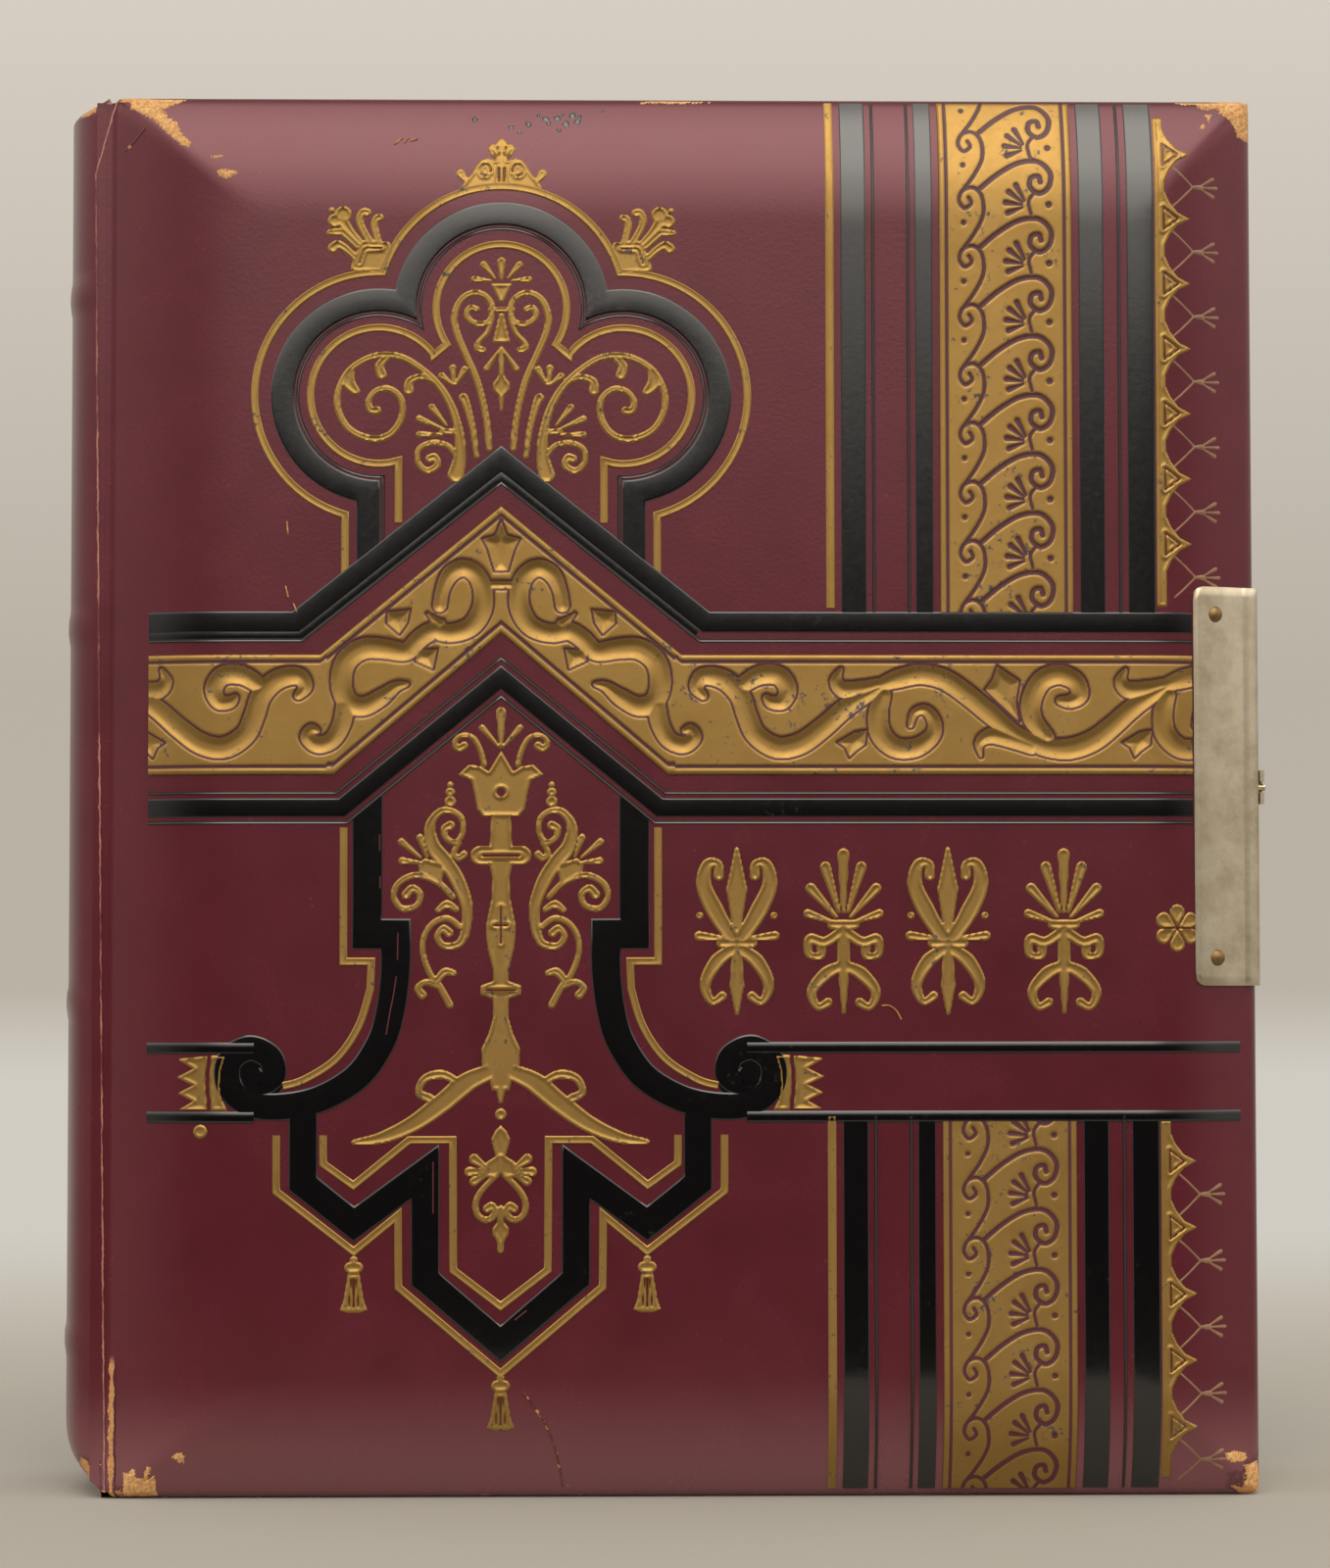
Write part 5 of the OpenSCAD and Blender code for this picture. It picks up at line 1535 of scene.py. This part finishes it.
def plate_skin():
    """The bent clasp plate: a sheet that follows the cover's face at its own thickness and turns round the
    fore edge by a quarter circle, with rounded corners and a softened rim."""
    middle = (PLATE_LOW[2] + PLATE_HIGH[2]) / 2
    half = (PLATE_HIGH[2] - PLATE_LOW[2]) / 2
    width = FORE_X - PLATE_LOW[0]
    flat = np.concatenate([RIM_STEPS, np.linspace(FLAT_START, width - PLATE_BEND, 14)])
    bend = np.linspace(0, math.pi / 2, 10)
    x_flat = PLATE_LOW[0] + flat
    face = cover_face(x_flat, middle) + PLATE_THICK
    corner = face[-1] - PLATE_BEND
    x_bend = FORE_X - PLATE_BEND + (PLATE_BEND + PLATE_THICK) * np.sin(bend)
    fall = np.linspace(corner, INNER + PLATE_FOOT, 6)[1:]
    x = np.concatenate([x_flat, x_bend, np.full(len(fall), x_bend[-1])])
    rim = RIM_DROP * (1 - easing(flat / RIM_REACH))
    depth = np.concatenate([face - rim, corner + PLATE_BEND * np.cos(bend), fall])
    ends = np.array(END_SHARES)
    share = np.concatenate([-ends[::-1], np.linspace(-0.95, 0.95, 24), ends])
    near = np.clip(PLATE_CORNER - x + PLATE_LOW[0], 0, PLATE_CORNER)
    short = PLATE_CORNER - np.sqrt(PLATE_CORNER ** 2 - near ** 2)
    z = middle + share[:, None] * (half - short)
    soft = END_DROP * (1 - easing((1 - np.abs(share)) * half / END_REACH))
    outer = grid_points(x, soft[:, None] - depth, z)
    turned = np.concatenate([np.zeros(len(flat)), np.sin(bend), np.ones(len(fall))])
    inner = grid_points(x - PLATE_THICK * turned, PLATE_THICK * (1 - turned) + PLATE_GAP - depth, z)
    count = z.size
    faces = grid_quads(*z.shape)
    border = border_ring(*z.shape)
    onward = np.roll(border, -1)
    skirt = np.stack([border, onward, onward + count, border + count], axis=-1)
    quads = np.concatenate([faces, faces[:, ::-1] + count, skirt])
    return np.concatenate([outer.reshape(-1, 3), inner.reshape(-1, 3)]), quads, []


def nail_heads(node, side):
    """Domed nail heads over a node's nails: half an ellipse turned about each nail's axis."""
    low, high = box_mm(node)
    x = (low[0] + high[0]) / 2
    turn = np.radians(np.linspace(90, 4, 7)[:0:-1])
    ring = NAIL_RADIUS * np.append(np.cos(turn), NAIL_TIP)[:, None]
    rise = NAIL_RISE * np.append(np.sin(turn), 1)[:, None]
    around = np.radians(np.arange(24) * 15)
    shells = []
    for z in (low[2] + NAIL_RADIUS, high[2] - NAIL_RADIUS):
        base = cover_face(x, z) + PLATE_THICK - NAIL_SUNK
        points = grid_points(
            x + ring * np.cos(around), side * (base + rise), z + ring * np.sin(around))
        shells.append(tube(points))
    return shells


def clasp_pieces():
    """The front plate with its nails; the back plate, stud, pin and hasp keep their own shapes."""
    plate = make_piece("front_plate_nickel", [plate_skin()], NICKEL, crease=50)
    settle(plate, "front_cover", "nickel", "front_clasp_plate")
    for name, side in (("front", -1), ("back", 1)):
        nails = make_piece(name + "_nail_heads", nail_heads(name + "_plate_pins", side), BRASS)
        settle(nails, name + "_cover", "nickel", name + "_plate_pins")


def dress_nodes():
    """Finishes of the nodes that keep their own shapes."""
    finishes = {
        "_board": MILLBOARD, "_pastedown": ENDPAPER,
        "_core": LEAF_CARD, "_mats": MAT_PAPER, "_linen": LINEN,
        "guards": LEAF_CARD, "mull": MULL, "sewing": MULL, "headbands": SILK,
        "_clasp_plate": NICKEL, "clasp_stud": NICKEL, "hasp_pin": NICKEL, "clasp_hasp": NICKEL,
    }
    for name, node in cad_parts.items():
        for ending, finish in finishes.items():
            if name.endswith(ending):
                node.data.materials.clear()
                node.data.materials.append(finish)


# Stage, light and camera

FLOOR_BACK = 4.0
FLOOR_FRONT = -0.2
FRONT_DROP = 0.3
FRONT_FALL = -1.0
SWEEP = 0.7
WALL = 1.8
PAPER_HALF = 4.0
EVEN_FROM = 0.15
EVEN_TO = 0.9
FLOOR_COLOUR = "9f9c94"
# Painted light and shade on the backdrop: glowing tones by height in metres, pale on the floor, darker low
# on the wall and paler above.
BACKDROP_LIGHT_AND_SHADE_TONES = [(0.0, "d1ccc3"), (0.1, "bab2a5"), (0.5, "b9b1a4"), (1.0, "c9c1b6"), (1.4, "d5cdc2")]


def studio_sweep():
    """Pale paper that hangs over a rounded table edge in front, runs along the floor and sweeps up behind
    the album in a quarter circle. Round the album it is lit and shaded as paper; far behind, the eye and
    mirrors see it glow in pale tones painted by height, as painted light and shade: pale on the floor,
    darker low on the wall and paler again above."""
    turn = np.radians(np.linspace(0, 90, 25))
    profile = np.concatenate([
        [(FLOOR_FRONT - FRONT_DROP, FRONT_FALL)],
        np.column_stack([FLOOR_FRONT - FRONT_DROP * np.cos(turn), FRONT_DROP * (np.sin(turn) - 1)]),
        [(0, 0), (0.6, 0)],
        np.column_stack([FLOOR_BACK + SWEEP * np.sin(turn), SWEEP * (1 - np.cos(turn))]),
        [(FLOOR_BACK + SWEEP, WALL)],
    ])
    across = np.linspace(-PAPER_HALF, PAPER_HALF, 13)
    points = grid_points(across, profile[:, None, 0], profile[:, None, 1])
    material, tree, here = new_material("backdrop_paper")
    place = add(tree, "SeparateXYZ", {}, {"Vector": here})
    stops = [(height, linear(tone)) for height, tone in BACKDROP_LIGHT_AND_SHADE_TONES]
    tones = tones_by_height(tree, place.outputs["Z"], stops)
    ray = add(tree, "LightPath", {}, {})
    seen = add(tree, "Math", {"operation": "MAXIMUM"}, {
        0: ray.outputs["Is Camera Ray"], 1: ray.outputs["Is Glossy Ray"]})
    shown = add(tree, "Math", {"operation": "MAXIMUM"}, {0: seen, 1: ray.outputs["Is Transmission Ray"]})
    far = add(tree, "MapRange", {"interpolation_type": "SMOOTHSTEP"}, {
        "Value": place.outputs["Y"], "From Min": EVEN_FROM, "From Max": EVEN_TO})
    plain = add(tree, "Math", {"operation": "MULTIPLY"}, {0: far, 1: shown})
    paper = add(tree, "BsdfPrincipled", {}, {"Base Color": linear(FLOOR_COLOUR), "Roughness": 0.9})
    # The glow shows the backdrop's painted light and shade, in tones by height.
    even = add(tree, "Emission", {}, {"Color": tones})
    mixed = add(tree, "MixShader", {}, {0: plain, 1: paper, 2: even})
    add(tree, "OutputMaterial", {}, {"Surface": mixed})
    mesh = bpy.data.meshes.new("backdrop")
    mesh.from_pydata(points.reshape(-1, 3).tolist(), [], grid_quads(len(profile), len(across)).tolist())
    mesh.shade_smooth()
    mesh.materials.append(material)
    sweep = bpy.data.objects.new("backdrop", mesh)
    bpy.context.scene.collection.objects.link(sweep)


DOME = [  # height of the direction, glow
    (0.0, 0.02), (0.06, 0.03), (0.15, 0.16), (0.2, 0.6), (0.27, 1.1), (0.5, 1.4), (0.75, 0.9), (1.0, 0.4)]
PANEL = [
    (0.0, 0.0), (0.15, 0.0), (0.18, 1.5), (0.4, 2.1), (0.6, 3.3), (0.8, 3.8), (0.9, 3.0), (1.0, 0.6)]
GLOW_SCALE = 10.0
DOME_SIDES = 0.5
SIDES_FROM, SIDES_TO = 0.35, 0.75
DOME_BACK = 0.5
BACK_FADE = 0.5
PANEL_EDGE, PANEL_END = 0.2, 0.34
PANEL_FADE = 0.3


def studio_dome():
    """A soft dome of light by the height of the direction, dim near the horizon, with brighter sides, a
    dimmer back and an upright panel of light in front. The camera sees a plain pale tone."""
    world = bpy.data.worlds.new("studio_dome")
    world.use_nodes = True
    tree = world.node_tree
    tree.nodes.clear()
    way = add(tree, "SeparateXYZ", {}, {"Vector": add(tree, "TexCoord", {}, {}).outputs["Generated"]})
    up, strip = [
        tones_by_height(
            tree, way.outputs["Z"], [(height, (*[glow / GLOW_SCALE] * 3, 1)) for height, glow in glows])
        for glows in (DOME, PANEL)]
    back = add(tree, "MapRange", {}, {
        "Value": way.outputs["Y"], "From Max": BACK_FADE, "To Min": GLOW_SCALE,
        "To Max": GLOW_SCALE * DOME_BACK})
    aside = add(tree, "Math", {"operation": "ABSOLUTE"}, {0: way.outputs["X"]})
    sides = add(tree, "MapRange", {"interpolation_type": "SMOOTHSTEP"}, {
        "Value": aside, "From Min": SIDES_FROM, "From Max": SIDES_TO, "To Max": DOME_SIDES})
    narrow = add(tree, "MapRange", {"interpolation_type": "SMOOTHSTEP"}, {
        "Value": aside, "From Min": PANEL_EDGE, "From Max": PANEL_END, "To Min": GLOW_SCALE, "To Max": 0.0})
    front = add(tree, "MapRange", {"interpolation_type": "SMOOTHSTEP"}, {
        "Value": way.outputs["Y"], "From Max": PANEL_FADE, "To Min": 1.0, "To Max": 0.0})
    spread = add(tree, "Math", {"operation": "MULTIPLY_ADD"}, {0: up, 1: back, 2: sides})
    window = add(tree, "Math", {"operation": "MULTIPLY"}, {0: narrow, 1: front})
    glow = add(tree, "Math", {"operation": "MULTIPLY_ADD"}, {0: strip, 1: window, 2: spread})
    light = add(tree, "Background", {}, {"Color": linear("fff8ee"), "Strength": glow})
    pale = add(tree, "Background", {}, {"Color": linear("d5cdc2")})
    ray = add(tree, "LightPath", {}, {})
    mixed = add(tree, "MixShader", {}, {0: ray.outputs["Is Camera Ray"], 1: light, 2: pale})
    add(tree, "OutputWorld", {}, {"Surface": mixed})
    bpy.context.scene.world = world


CAMERA_PLACE = (-0.0176, -0.824, 0.0952)
CAMERA_TURN = (92.85, 0.06, -1.21)
CAMERA_LENS = 96.4
CAMERA_SENSOR = 36
CAMERA_NEAR = 0.01


def photograph_camera():
    """The photograph's viewpoint, worked out from the edges of the cover."""
    camera = bpy.data.cameras.new("photograph_camera")
    camera.lens = CAMERA_LENS
    camera.sensor_width = CAMERA_SENSOR
    camera.clip_start = CAMERA_NEAR
    holder = bpy.data.objects.new("photograph_camera", camera)
    holder.location = CAMERA_PLACE
    holder.rotation_euler = [math.radians(angle) for angle in CAMERA_TURN]
    bpy.context.scene.collection.objects.link(holder)
    bpy.context.scene.camera = holder


leather_pieces()
black_pieces()
gilt_lines()
trefoil_figures()
panel_figures()
fleuron_row()
hanging_figures()
chevron_band()
upright_fields()
fore_edgings()
cover_wear_and_fold_shade()
clasp_pieces()
dress_nodes()
studio_sweep()
studio_dome()
photograph_camera()
bpy.context.scene.view_settings.view_transform = "Standard"
